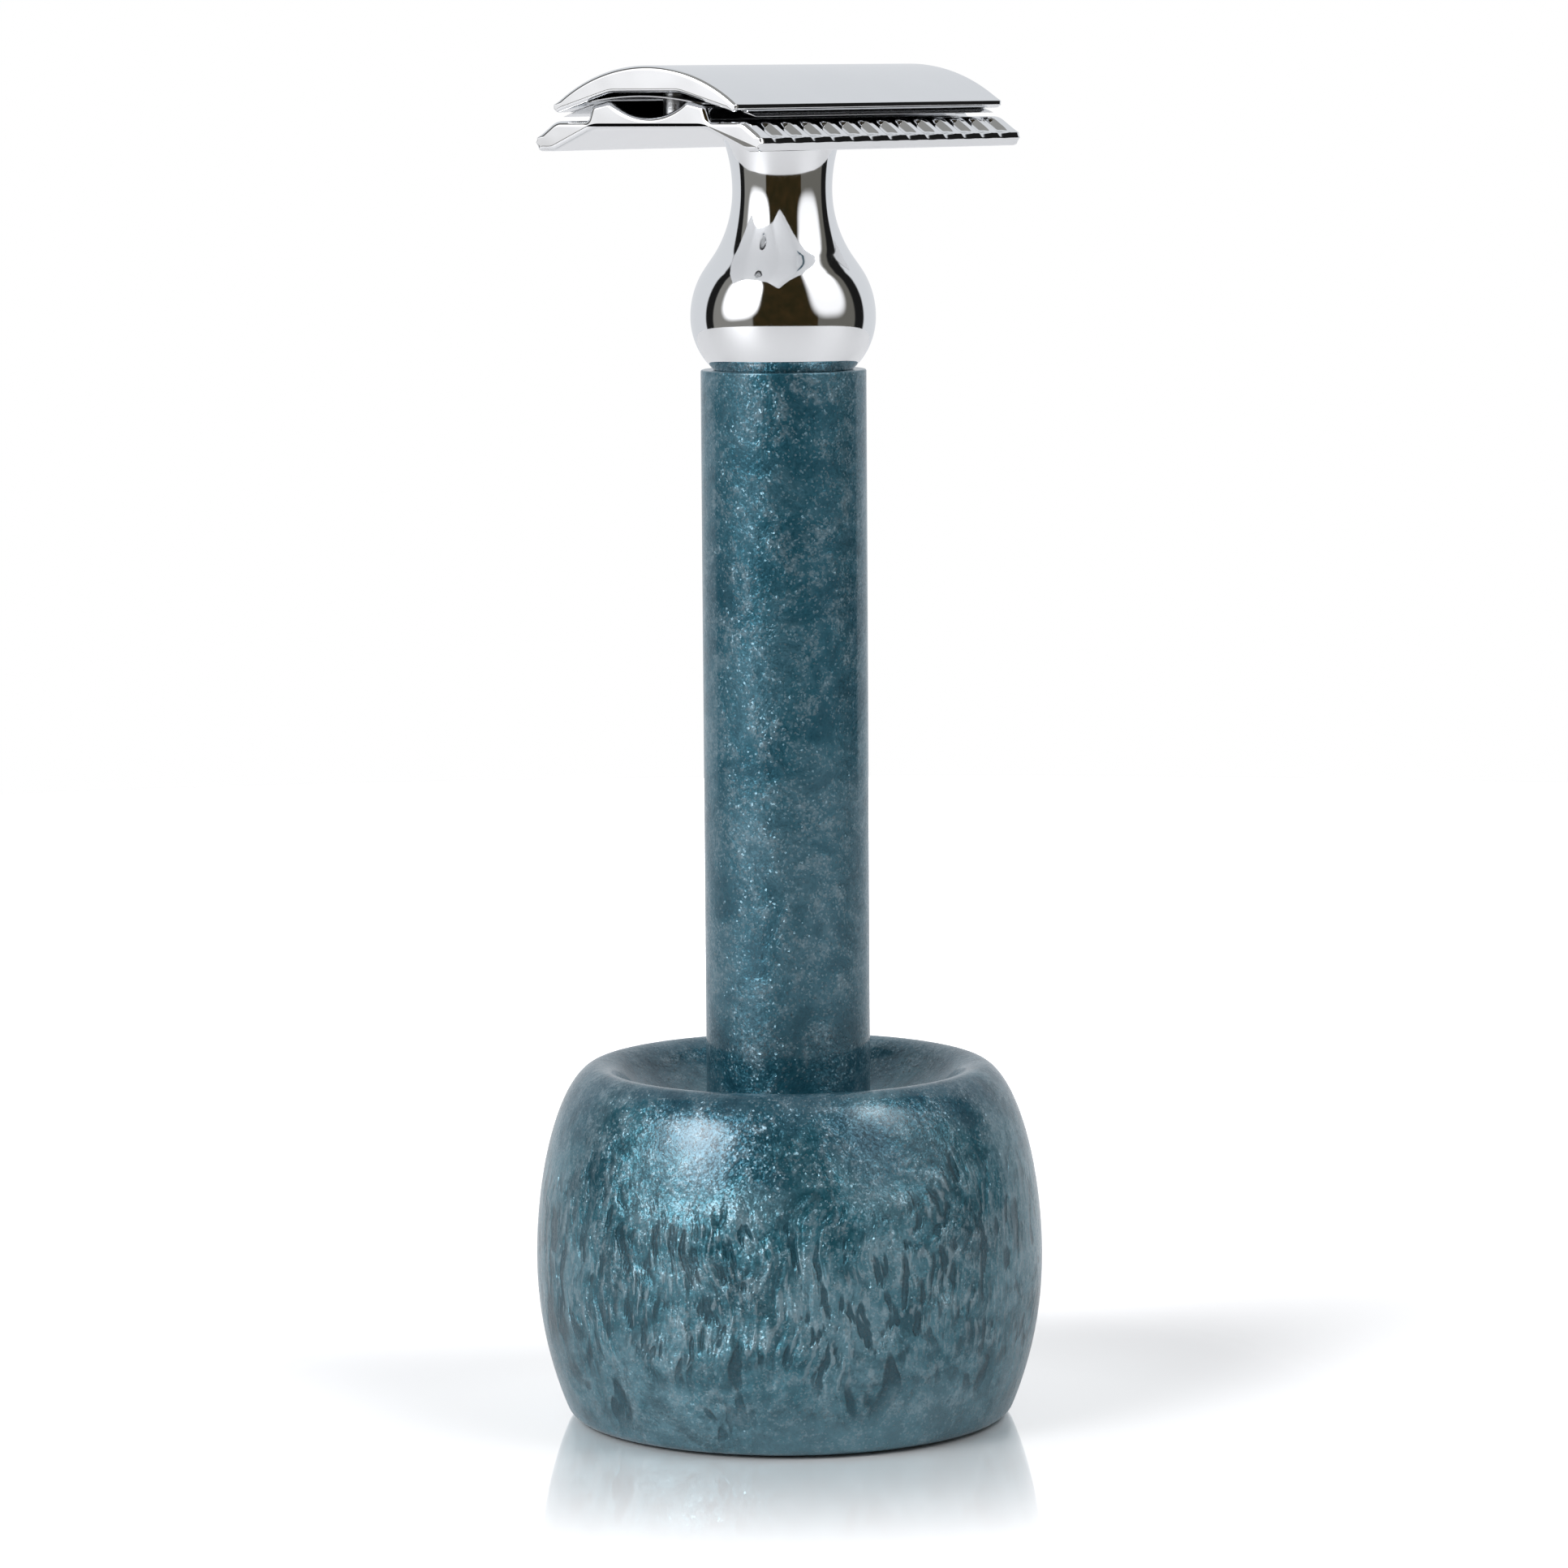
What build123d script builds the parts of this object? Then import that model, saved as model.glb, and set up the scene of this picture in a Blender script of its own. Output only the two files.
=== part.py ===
"""A double-edge safety razor with a resin grip, standing in its turned resin stand.

Frame: millimetres, +Z up, origin on the stand's axis at the surface it stands on.
+X runs along the long side of the razor's head, +Y across it, from edge to edge.

The razor is a three-piece one. The cap's threaded stud passes through the blade and the base
plate and screws into the neck, which clamps the blade in a curve. The cap's two pins keep the
blade and the base plate in line with the cap.
"""
from build123d import *
import math
import os

os.makedirs("parts", exist_ok=True)

# ---------------------------------------------------------------- driving dimensions

# Stand
pad_proud = 0.2            # how far the foot pad stands below the resin
pad_thickness = 1.4
pad_radius = 17.2
pad_play = 0.1             # round the pad in its recess
pad_edge_chamfer = 0.15
belly_radius = 23.7        # widest place of the stand
belly_height = 15.1
crest_radius = 17.9        # top of the rounded lip
crest_height = 33.2
side_arc_radius = 36.0     # the side below the belly
foot_edge_radius = 1.5
lip_radius = 3.0           # lip's inner side
lip_turn = 48.0            # degrees from level to the dish's steepest slope
dish_end_slope = 8.0       # degrees of slope left where the dish meets the socket
socket_radius = 7.9
socket_floor = 12.0
socket_edge_radius = 0.5

# Handle
grip_radius = 7.66
grip_bottom = socket_floor + 0.05
grip_top = 98.0
grip_bottom_radius = 1.0
grip_top_chamfer = 0.25
insert_radius = 5.5
insert_depth = 16.0
insert_groove_depth = 0.4
insert_groove_width = 0.8
insert_groove_count = 5
spigot_radius = 4.0
spigot_length = 12.0

# Neck, between the grip and the head
neck_foot_radius = 6.8     # where it sits on the grip
neck_skirt_height = 0.7
bulb_radius = 8.56         # widest place of the bulb
bulb_height = 102.85
bulb_lower_arc = 6.6
waist_radius = 4.6
waist_height = 114.5
waist_arc = 11.0           # below the waist
neck_flare_arc = 14.0      # above it
neck_top = 120.28

# Screw thread of the head, size M5
thread_pitch = 0.8
thread_depth = 0.49
stud_radius = 2.42
thread_radial_play = 0.1
thread_axial_play = 0.06   # on each flank
bore_minor_radius = 2.1
crest_width = 0.1
flank = 2 * math.tan(math.radians(30))   # tooth's width gained per millimetre of depth
stud_bottom = 112.4
bore_bottom = 110.4
thread_start = bore_bottom + 0.4
tooth_overlap = 0.1        # how far a tooth or groove reaches into the part it is joined to
stud_end_chamfer = 0.4

# Head: heights and half widths of the cross-section
plate_under = 120.3        # base plate's flat underside
plate_half_length = 20.5
bar_top = 121.0
bar_outer = 12.72
bar_outer_height = 119.55
bar_side = 0.5             # height of the bar's upright outer side
bar_shoulder = 10.5        # where the bar's top turns down into its slope
bar_bottom = 118.3
bar_bottom_half_width = 10.8
bar_bottom_inset = 0.32
trough_half_width = 6.2    # of the flat underside
rib_half_width = 6.8
rib_shoulder = 6.3
rib_shoulder_height = 122.4
ridge = 4.3
ridge_height = 122.85
scoop_height = 121.35

plate_edge_radius = 0.2    # round the plate's two ends
bar_outer_radius = 0.3     # roundings of the section's corners, from the bar's outside inwards
bar_bottom_radius = 0.3
bar_shoulder_radius = 0.6
rib_foot_radius = 0.3
rib_shoulder_radius = 0.4
ridge_radius = 0.35
trough_corner_radius = 0.5
flute_count = 13
flute_pitch = 2.97
flute_radius = 1.05
flute_lift = 0.45          # cutter's axis above the bar's slope
flute_start = 1.05         # along the slope, from its top to the middle of the flute's round end
stud_hole_radius = 2.75
pin_position = 16.0
pin_radius = 1.25
pin_hole_radius = 1.45
pin_end_chamfer = 0.2
pin_hole_countersink = 0.5

cap_half_length = 21.0
cap_top = 125.95
cap_arc = 16.7
cap_arc_half_width = 9.55
cap_half_width = 10.25
cap_side_height = 122.05
cap_side_strip = 0.42      # height of the cap's upright side
cap_lip_half_width = 9.9
cap_lip_height = 121.75
cap_flat_half_width = 3.85
cap_flat_height = 123.48
cap_end_radius = 0.15      # round the cap's two ends
stud_pocket_top = 124.8
pin_pocket_top = 124.6
pin_bottom = 120.35        # all but level with the plate's underside

blade_thickness = 0.1
blade_play = 0.03          # to the ridges, and to the cap's lips
blade_half_width = 11.0    # measured flat
blade_half_length = 21.5
blade_edge_half_length = 18.7
blade_tab_half_width = 6.6
blade_bevel = 1.0
blade_edge_thickness = 0.02
blade_centre_hole = 2.9
blade_end_hole = 1.65
blade_slot_width = 1.8
blade_side_hole = (5.0, 3.6)
blade_side_hole_position = 8.9
blade_corner_radius = 1.2
blade_side_hole_radius = 1.0


cut_margin = 1.0           # how far a cutting body reaches past the surface that it cuts
match_tolerance = 0.01     # for finding a corner by its place


def finish(name, label):
    """Names a finished piece and writes it as one STEP file."""
    name.part.label = label
    export_step(name.part, f"parts/{label}.step")
    print(f"{label}: volume {name.part.volume:.2f} mm3")


def thread_profile(inner_radius, outer_radius, outer_width, height):
    """Corners of a thread's tooth or groove, in (radius, height), with its middle at the height given."""
    half_crest = outer_width / 2
    half_root = half_crest + flank * (outer_radius - inner_radius) / 2
    return [
        (inner_radius, height - half_root),
        (outer_radius, height - half_crest),
        (outer_radius, height + half_crest),
        (inner_radius, height + half_root),
    ]


# ---------------------------------------------------------------- stand

side_centre = belly_radius - side_arc_radius
foot_angle = math.degrees(math.asin((belly_height - pad_proud) / side_arc_radius))
foot_radius = side_centre + side_arc_radius * math.cos(math.radians(foot_angle))

with BuildPart() as stand_body:
    with BuildSketch(Plane.XZ) as section:
        with BuildLine():
            side = CenterArc((side_centre, belly_height), side_arc_radius, -foot_angle, foot_angle)
            shoulder = EllipticalCenterArc(
                (crest_radius, belly_height),
                belly_radius - crest_radius,
                crest_height - belly_height,
                start_angle=0,
                arc_size=90,
            )
            lip = JernArc((crest_radius, crest_height), (-1, 0), lip_radius, lip_turn)
            turn = lip_turn - dish_end_slope
            run = (lip @ 1).X - socket_radius
            dish_arc = run / (
                math.sin(math.radians(lip_turn)) - math.sin(math.radians(dish_end_slope))
            )
            dish = JernArc(lip @ 1, lip % 1, dish_arc, -turn)
            wall = Line(dish @ 1, (socket_radius, socket_floor))
            floor = Line(wall @ 1, (0, socket_floor))
            core = Line(floor @ 1, (0, pad_thickness))
            recess = Polyline(
                (0, pad_thickness),
                (pad_radius + pad_play, pad_thickness),
                (pad_radius + pad_play, pad_proud),
                (foot_radius, pad_proud),
            )
        make_face()
        socket_rim = section.vertices().sort_by_distance(dish @ 1)[0]
        fillet(socket_rim, socket_edge_radius)
        foot_corner = section.vertices().sort_by_distance(recess @ 1)[0]
        fillet(foot_corner, foot_edge_radius)
    revolve(axis=Axis.Z)
finish(stand_body, "stand_body")

with BuildPart() as stand_foot_pad:
    with BuildSketch():
        Circle(pad_radius)
    extrude(amount=pad_thickness)
    chamfer(stand_foot_pad.edges().group_by(Axis.Z)[0], pad_edge_chamfer)
finish(stand_foot_pad, "stand_foot_pad")

# ---------------------------------------------------------------- handle

with BuildPart() as handle_grip:
    with BuildSketch(Plane.XY.offset(grip_bottom)):
        Circle(grip_radius)
    extrude(amount=grip_top - grip_bottom)
    fillet(handle_grip.edges().group_by(Axis.Z)[0], grip_bottom_radius)
    chamfer(handle_grip.edges().group_by(Axis.Z)[-1], grip_top_chamfer)
    with BuildSketch(Plane.XY.offset(grip_top)):
        Circle(insert_radius)
    extrude(amount=-insert_depth, mode=Mode.SUBTRACT)
finish(handle_grip, "handle_grip")

with BuildPart() as handle_insert:
    with BuildSketch(Plane.XY.offset(grip_top - insert_depth)):
        Circle(insert_radius)
        Circle(spigot_radius, mode=Mode.SUBTRACT)
    extrude(amount=insert_depth)
    # Grooves that the glue grips
    groove_step = insert_depth / (insert_groove_count + 1)
    for number in range(insert_groove_count):
        groove_middle = grip_top - insert_depth + groove_step * (number + 1)
        with BuildSketch(Plane.XY.offset(groove_middle - insert_groove_width / 2)):
            Circle(insert_radius)
            Circle(insert_radius - insert_groove_depth, mode=Mode.SUBTRACT)
        extrude(amount=insert_groove_width, mode=Mode.SUBTRACT)
finish(handle_insert, "handle_insert")

# ---------------------------------------------------------------- neck

# The bulb's upper arc touches the waist's arc: both centres and the gap between them give it.
waist_centre = waist_radius + waist_arc
rise = waist_height - bulb_height
reach = waist_centre - bulb_radius
bulb_upper_arc = (reach**2 + rise**2 - waist_arc**2) / (2 * (waist_arc - reach))
bulb_upper_centre = bulb_radius - bulb_upper_arc
join_angle = math.degrees(math.atan2(rise, waist_centre - bulb_upper_centre))
flare_centre = waist_radius + neck_flare_arc
flare_angle = math.degrees(math.asin((neck_top - waist_height) / neck_flare_arc))
skirt_height = grip_top + neck_skirt_height
lower_centre = bulb_radius - bulb_lower_arc
skirt_angle = math.degrees(math.asin((bulb_height - skirt_height) / bulb_lower_arc))

# The tapped hole is cut with one body: its bore, and the groove swept up round it.
groove_radius = stud_radius + thread_radial_play
groove_crest_width = crest_width + 2 * thread_axial_play - flank * thread_radial_play
bore_length = neck_top + 2 * thread_pitch - bore_bottom

with BuildPart() as tapped_hole:
    with BuildSketch(Plane.XY.offset(bore_bottom)):
        Circle(bore_minor_radius)
    extrude(amount=bore_length)
    with BuildLine(mode=Mode.PRIVATE) as groove_path:
        Helix(
            thread_pitch,
            neck_top + thread_pitch - thread_start,
            bore_minor_radius,
            center=(0, 0, thread_start),
        )
    with BuildSketch(Plane.XZ):
        with BuildLine():
            Polyline(
                *thread_profile(
                    bore_minor_radius - tooth_overlap, groove_radius, groove_crest_width, thread_start
                ),
                close=True,
            )
        make_face()
    sweep(path=groove_path.line, is_frenet=True)

with BuildPart() as neck_ferrule:
    with BuildSketch(Plane.XZ):
        with BuildLine():
            lower = CenterArc((lower_centre, bulb_height), bulb_lower_arc, -skirt_angle, skirt_angle)
            upper = CenterArc((bulb_upper_centre, bulb_height), bulb_upper_arc, 0, join_angle)
            waist = CenterArc((waist_centre, waist_height), waist_arc, 180 + join_angle, -join_angle)
            flare = CenterArc((flare_centre, waist_height), neck_flare_arc, 180, -flare_angle)
            Polyline(
                flare @ 1,
                (0, neck_top),
                (0, grip_top - spigot_length),
                (spigot_radius, grip_top - spigot_length),
                (spigot_radius, grip_top),
                (neck_foot_radius, grip_top),
                lower @ 0,
            )
        make_face()
    revolve(axis=Axis.Z)
    add(tapped_hole.part, mode=Mode.SUBTRACT)
finish(neck_ferrule, "neck_ferrule")

# ---------------------------------------------------------------- base plate


def around(value):
    """Limits just below and just above a value."""
    return value - match_tolerance, value + match_tolerance


def corners_at(section, distance):
    """Corners of a section, left and right, at a distance from its middle."""
    return [v for v in section.vertices() if abs(abs(v.X) - distance) < match_tolerance]


slope_run = bar_outer - bar_shoulder
slope_drop = bar_top - bar_outer_height
slope_length = math.hypot(slope_run, slope_drop)
slope_out = slope_run / slope_length
slope_down = slope_drop / slope_length
flute_places = []
for side in (-1, 1):
    for number in range(flute_count):
        flute_places.append(
            Plane(
                origin=(
                    (number - (flute_count - 1) / 2) * flute_pitch,
                    side * (bar_shoulder + flute_start * slope_out + flute_lift * slope_down),
                    bar_top - flute_start * slope_down + flute_lift * slope_out,
                ),
                x_dir=(1, 0, 0),
                z_dir=(0, side * slope_out, -slope_down),
            )
        )

with BuildPart() as base_plate:
    with BuildSketch(Plane.YZ.offset(-plate_half_length)) as section:
        with BuildLine():
            Polyline(
                (trough_half_width, plate_under),
                (bar_bottom_half_width, bar_bottom),
                (bar_outer - bar_bottom_inset, bar_bottom),
                (bar_outer, bar_outer_height - bar_side),
                (bar_outer, bar_outer_height),
                (bar_shoulder, bar_top),
                (rib_half_width, bar_top),
                (rib_shoulder, rib_shoulder_height),
                (ridge, ridge_height),
            )
            mirror(about=Plane.YZ)
            Line((-trough_half_width, plate_under), (trough_half_width, plate_under))
            ThreePointArc((-ridge, ridge_height), (0, scoop_height), (ridge, ridge_height))
        make_face()
        fillet(corners_at(section, bar_outer), bar_outer_radius)
        fillet(section.vertices().filter_by_position(Axis.Y, *around(bar_bottom)), bar_bottom_radius)
        fillet(corners_at(section, bar_shoulder), bar_shoulder_radius)
        fillet(corners_at(section, rib_half_width), rib_foot_radius)
        fillet(corners_at(section, rib_shoulder), rib_shoulder_radius)
        fillet(corners_at(section, ridge), ridge_radius)
        fillet(corners_at(section, trough_half_width), trough_corner_radius)
    extrude(amount=2 * plate_half_length)
    ends = base_plate.faces().sort_by(Axis.X)
    fillet(ends[0].edges() + ends[-1].edges(), plate_edge_radius)
    with Locations(*flute_places):
        Cylinder(
            flute_radius,
            slope_length + cut_margin,
            align=(Align.CENTER, Align.CENTER, Align.MIN),
            mode=Mode.SUBTRACT,
        )
        Sphere(flute_radius, mode=Mode.SUBTRACT)
    with BuildSketch(Plane.XY.offset(plate_under - cut_margin)):
        Circle(stud_hole_radius)
        with Locations((-pin_position, 0), (pin_position, 0)):
            Circle(pin_hole_radius)
    extrude(amount=ridge_height - plate_under + 2 * cut_margin, mode=Mode.SUBTRACT)
    hole_edges = base_plate.edges().filter_by(GeomType.CIRCLE).filter_by_position(Axis.Z, *around(plate_under))
    chamfer([e for e in hole_edges if abs(e.radius - pin_hole_radius) < match_tolerance], pin_hole_countersink)
finish(base_plate, "base_plate")

# ---------------------------------------------------------------- blade

# The blade bends to one arc: it rests on the ridges, and the cap's lips press it down.
ridge_middle = ridge_height + blade_play + blade_thickness / 2
lip_middle = cap_lip_height - blade_play - blade_thickness / 2
chord_run = cap_lip_half_width**2 - ridge**2
blade_arc = chord_run / (2 * (ridge_middle - lip_middle))
for refinement in range(20):
    sag_at_ridge = blade_arc - math.sqrt(blade_arc**2 - ridge**2)
    sag_at_lip = blade_arc - math.sqrt(blade_arc**2 - cap_lip_half_width**2)
    blade_arc = blade_arc * (sag_at_lip - sag_at_ridge) / (ridge_middle - lip_middle)
blade_crown = ridge_middle + sag_at_ridge
blade_centre = blade_crown - blade_arc
bevel_angle = math.degrees((blade_half_width - blade_bevel) / blade_arc)
edge_angle = blade_half_width / blade_arc
upper_arc = blade_arc + blade_thickness / 2
lower_arc = blade_arc - blade_thickness / 2

with BuildPart() as razor_blade:
    with BuildSketch(Plane.YZ.offset(-blade_half_length)):
        with BuildLine():
            upper_side = CenterArc((0, blade_centre), upper_arc, 90 - bevel_angle, 2 * bevel_angle)
            lower_side = CenterArc((0, blade_centre), lower_arc, 90 - bevel_angle, 2 * bevel_angle)
            for side, place in ((1, 0), (-1, 1)):
                across = side * math.sin(edge_angle)
                along = math.cos(edge_angle)
                outer_radius = blade_arc + blade_edge_thickness / 2
                inner_radius = blade_arc - blade_edge_thickness / 2
                Polyline(
                    upper_side @ place,
                    (outer_radius * across, blade_centre + outer_radius * along),
                    (inner_radius * across, blade_centre + inner_radius * along),
                    lower_side @ place,
                )
        make_face()
    extrude(amount=2 * blade_half_length)
    with BuildSketch(Plane.XY.offset(lip_middle - cut_margin)):
        Rectangle(2 * blade_edge_half_length, 2 * blade_half_width)
        RectangleRounded(2 * blade_half_length, 2 * blade_tab_half_width, blade_corner_radius)
        Circle(blade_centre_hole, mode=Mode.SUBTRACT)
        Rectangle(2 * pin_position, blade_slot_width, mode=Mode.SUBTRACT)
        with Locations((-pin_position, 0), (pin_position, 0)):
            Circle(blade_end_hole, mode=Mode.SUBTRACT)
        with Locations((-blade_side_hole_position, 0), (blade_side_hole_position, 0)):
            RectangleRounded(*blade_side_hole, blade_side_hole_radius, mode=Mode.SUBTRACT)
    extrude(amount=blade_crown - lip_middle + 2 * cut_margin, mode=Mode.INTERSECT)
finish(razor_blade, "razor_blade")

# ---------------------------------------------------------------- cap

cap_arc_centre = cap_top - cap_arc
cap_arc_angle = math.degrees(math.asin(cap_arc_half_width / cap_arc))

with BuildPart() as cap_plate:
    with BuildSketch(Plane.YZ.offset(-cap_half_length)):
        with BuildLine():
            dome = CenterArc((0, cap_arc_centre), cap_arc, 90 - cap_arc_angle, 2 * cap_arc_angle)
            lip = Polyline(
                dome @ 0,
                (cap_half_width, cap_side_height + cap_side_strip),
                (cap_half_width, cap_side_height),
                (cap_lip_half_width, cap_lip_height),
                (cap_flat_half_width, cap_flat_height),
            )
            mirror(lip, about=Plane.YZ)
            Line((-cap_flat_half_width, cap_flat_height), (cap_flat_half_width, cap_flat_height))
        make_face()
    extrude(amount=2 * cap_half_length)
    ends = cap_plate.faces().sort_by(Axis.X)
    fillet(ends[0].edges() + ends[-1].edges(), cap_end_radius)
    with BuildSketch(Plane.XY.offset(cap_flat_height - cut_margin)):
        Circle(stud_radius)
    extrude(amount=stud_pocket_top - cap_flat_height + cut_margin, mode=Mode.SUBTRACT)
    with BuildSketch(Plane.XY.offset(cap_flat_height - cut_margin)):
        with Locations((-pin_position, 0), (pin_position, 0)):
            Circle(pin_radius)
    extrude(amount=pin_pocket_top - cap_flat_height + cut_margin, mode=Mode.SUBTRACT)
finish(cap_plate, "cap_plate")

# ---------------------------------------------------------------- stud and pins

core_radius = stud_radius - thread_depth
stud_thread_start = thread_start + 4 * thread_pitch
stud_thread_end = plate_under

with BuildPart() as cap_stud:
    with BuildSketch(Plane.XY.offset(stud_bottom)):
        Circle(core_radius)
    extrude(amount=stud_thread_end - stud_bottom)
    chamfer(cap_stud.edges().group_by(Axis.Z)[0], stud_end_chamfer)
    with BuildLine(mode=Mode.PRIVATE) as tooth_path:
        Helix(
            thread_pitch,
            stud_thread_end - stud_thread_start,
            core_radius,
            center=(0, 0, stud_thread_start),
        )
    with BuildSketch(Plane.XZ):
        with BuildLine():
            Polyline(
                *thread_profile(core_radius - tooth_overlap, stud_radius, crest_width, stud_thread_start),
                close=True,
            )
        make_face()
    sweep(path=tooth_path.line, is_frenet=True)
    with BuildSketch(Plane.XY.offset(stud_thread_end)):
        Circle(stud_radius)
    extrude(amount=stud_pocket_top - stud_thread_end)
finish(cap_stud, "cap_stud")

with BuildPart() as cap_pin_left:
    with BuildSketch(Plane.XY.offset(pin_bottom)):
        with Locations((-pin_position, 0)):
            Circle(pin_radius)
    extrude(amount=pin_pocket_top - pin_bottom)
    chamfer(cap_pin_left.edges().group_by(Axis.Z)[0], pin_end_chamfer)
finish(cap_pin_left, "cap_pin_left")

with BuildPart() as cap_pin_right:
    with BuildSketch(Plane.XY.offset(pin_bottom)):
        with Locations((pin_position, 0)):
            Circle(pin_radius)
    extrude(amount=pin_pocket_top - pin_bottom)
    chamfer(cap_pin_right.edges().group_by(Axis.Z)[0], pin_end_chamfer)
finish(cap_pin_right, "cap_pin_right")
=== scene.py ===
import logging
import math
from dataclasses import dataclass, field
from enum import Enum
from functools import reduce
from typing import Callable

import bmesh
import bpy
import numpy as np
from mathutils import Matrix, Vector


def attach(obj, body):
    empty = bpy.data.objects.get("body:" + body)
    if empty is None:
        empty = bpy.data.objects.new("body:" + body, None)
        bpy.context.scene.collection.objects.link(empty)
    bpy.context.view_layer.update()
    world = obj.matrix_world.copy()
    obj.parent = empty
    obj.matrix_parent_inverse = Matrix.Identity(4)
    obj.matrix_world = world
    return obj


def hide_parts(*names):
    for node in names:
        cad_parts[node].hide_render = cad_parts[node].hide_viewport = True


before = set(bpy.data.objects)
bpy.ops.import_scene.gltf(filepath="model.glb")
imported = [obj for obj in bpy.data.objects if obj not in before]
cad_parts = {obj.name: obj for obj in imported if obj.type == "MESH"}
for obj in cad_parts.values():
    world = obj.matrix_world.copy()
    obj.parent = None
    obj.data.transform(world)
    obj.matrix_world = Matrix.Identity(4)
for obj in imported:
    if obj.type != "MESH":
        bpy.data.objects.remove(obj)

MM = 0.001
# Edges that turn by more than CRISP degrees stay sharp, and points closer than WELD metres become one.
# A length in millimetres that is under TINY counts as none.
CRISP = 32.0
WELD = 1e-7
TINY = 1e-9
Point = tuple[float, float]
Span = tuple[float, float]
Colour = tuple[float, float, float]
Wire = bpy.types.NodeSocket | float | tuple[float, ...]
Sockets = dict[str, bpy.types.NodeSocket]
Edges = tuple[float, float, float, float]
# Socket types of the node groups.
NUMBER, VECTOR = "NodeSocketFloat", "NodeSocketVector"
log = logging.getLogger("razor")


# ---------------------------------------------------------------- outlines and surfaces


class Ending(Enum):
    """How the first or last ring of a skinned surface is closed."""

    FACE = "face"
    POINT = "point"


class Outline:
    """A flat outline in millimetres whose corners are eased, as polishing eases them."""

    SAMPLE = 0.02
    NARROWEST = 0.001
    ARC_STEP = 1.5

    def __init__(self, closed: bool = False) -> None:
        """Starts an empty outline.

        Args:
            closed: Whether the last point joins the first.
        """
        self.closed = closed
        self.points: list[Point] = []
        self.eases: list[float] = []

    def to(self, across: float, up: float, ease: float = 0.0) -> "Outline":
        """Adds a corner.

        Args:
            across: First coordinate.
            up: Second coordinate.
            ease: How far along each side the corner's rounding reaches.

        Returns:
            The outline itself, so that calls can follow one another.
        """
        self.points.append((across, up))
        self.eases.append(ease)
        return self

    def arc(self, centre: Point, radius: float, start: float, end: float, skip: bool = False) -> "Outline":
        """Adds an arc of a circle.

        Args:
            centre: Its centre.
            radius: Its radius.
            start: Angle of its first point, in degrees.
            end: Angle of its last point, in degrees.
            skip: Leaves the first point out, where a corner already stands there.

        Returns:
            The outline itself.
        """
        steps = max(6, int(abs(end - start) / self.ARC_STEP))
        for step in range(1 if skip else 0, steps + 1):
            angle = math.radians(start + (end - start) * step / steps)
            self.to(centre[0] + radius * math.cos(angle), centre[1] + radius * math.sin(angle))
        return self

    def mirrored(self) -> "Outline":
        """Adds this half's mirror image across the second axis.

        Returns:
            The closed outline that the two halves make.
        """
        whole = Outline(closed=True)
        for (across, up), ease in zip(self.points, self.eases):
            whole.to(across, up, ease)
        for (across, up), ease in list(zip(self.points, self.eases))[::-1]:
            if abs(across) > TINY:
                whole.to(-across, up, ease)
        return whole

    def eased(self, longest: float, turn: float) -> np.ndarray:
        """Works out the outline's points, close together where it bends.

        Args:
            longest: Greatest distance between points on a straight stretch.
            turn: Greatest turn between points, in degrees.

        Returns:
            The points, one a row.
        """
        points, eases = np.array(self.points), np.array(self.eases)
        count = len(points)
        if self.closed:
            points, eases = np.tile(points, (3, 1)), np.tile(eases, 3)
        else:
            points = np.vstack([2 * points[0] - points[1], points, 2 * points[-1] - points[-2]])
            eases = np.concatenate([[0], eases, [0]])
        steps = np.linalg.norm(np.diff(points, axis=0), axis=1)
        along = np.concatenate([[0], np.cumsum(steps)])
        sums = np.concatenate(
            [np.zeros((1, 2)), np.cumsum((points[1:] + points[:-1]) / 2 * steps[:, None], axis=0)]
        )

        def total(place: np.ndarray) -> np.ndarray:
            """Works out the integral of the outline from its start.

            Args:
                place: Distances along the outline.

            Returns:
                The integral up to each of them.
            """
            at = np.clip(np.searchsorted(along, place) - 1, 0, len(steps) - 1)
            rest = (place - along[at])[:, None]
            slope = (points[at + 1] - points[at]) / np.maximum(steps[at], TINY)[:, None]
            return sums[at] + points[at] * rest + slope * rest**2 / 2

        first, last = (along[count], along[2 * count]) if self.closed else (along[1], along[-2])
        place = np.linspace(first, last, max(32, int((last - first) / self.SAMPLE)))
        reach = np.full(len(place), self.NARROWEST)
        for corner in np.nonzero(eases)[0]:
            ease = eases[corner]
            reach = np.maximum(reach, np.clip(2 * ease - np.abs(place - along[corner]), 0, ease))
        smooth = (total(place + reach) - total(place - reach)) / (2 * reach[:, None])
        if not self.closed:
            smooth[0], smooth[-1] = points[1], points[-2]
        run = np.diff(smooth, axis=0)
        length = np.linalg.norm(run, axis=1)
        heading = np.unwrap(np.arctan2(run[:, 1], run[:, 0]))
        bend = np.abs(np.diff(heading, append=heading[-1]))
        need = np.concatenate([[0], np.cumsum(length / longest + bend / math.radians(turn))])
        marks = np.linspace(0, need[-1], int(need[-1]) + 2)
        if self.closed:
            marks = marks[:-1]
        return np.column_stack([np.interp(marks, need, smooth[:, axis]) for axis in (0, 1)])


def normals_of(outline: np.ndarray) -> np.ndarray:
    """Works out which way is out of a closed outline.

    Args:
        outline: The outline's points.

    Returns:
        A unit vector for each point.
    """
    run = np.roll(outline, -1, axis=0) - np.roll(outline, 1, axis=0)
    out = np.column_stack([run[:, 1], -run[:, 0]])
    out /= np.maximum(np.linalg.norm(out, axis=1), TINY)[:, None]
    area = np.sum(outline[:, 0] * np.roll(outline[:, 1], -1) - np.roll(outline[:, 0], -1) * outline[:, 1])
    return out if area > 0 else -out


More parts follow.
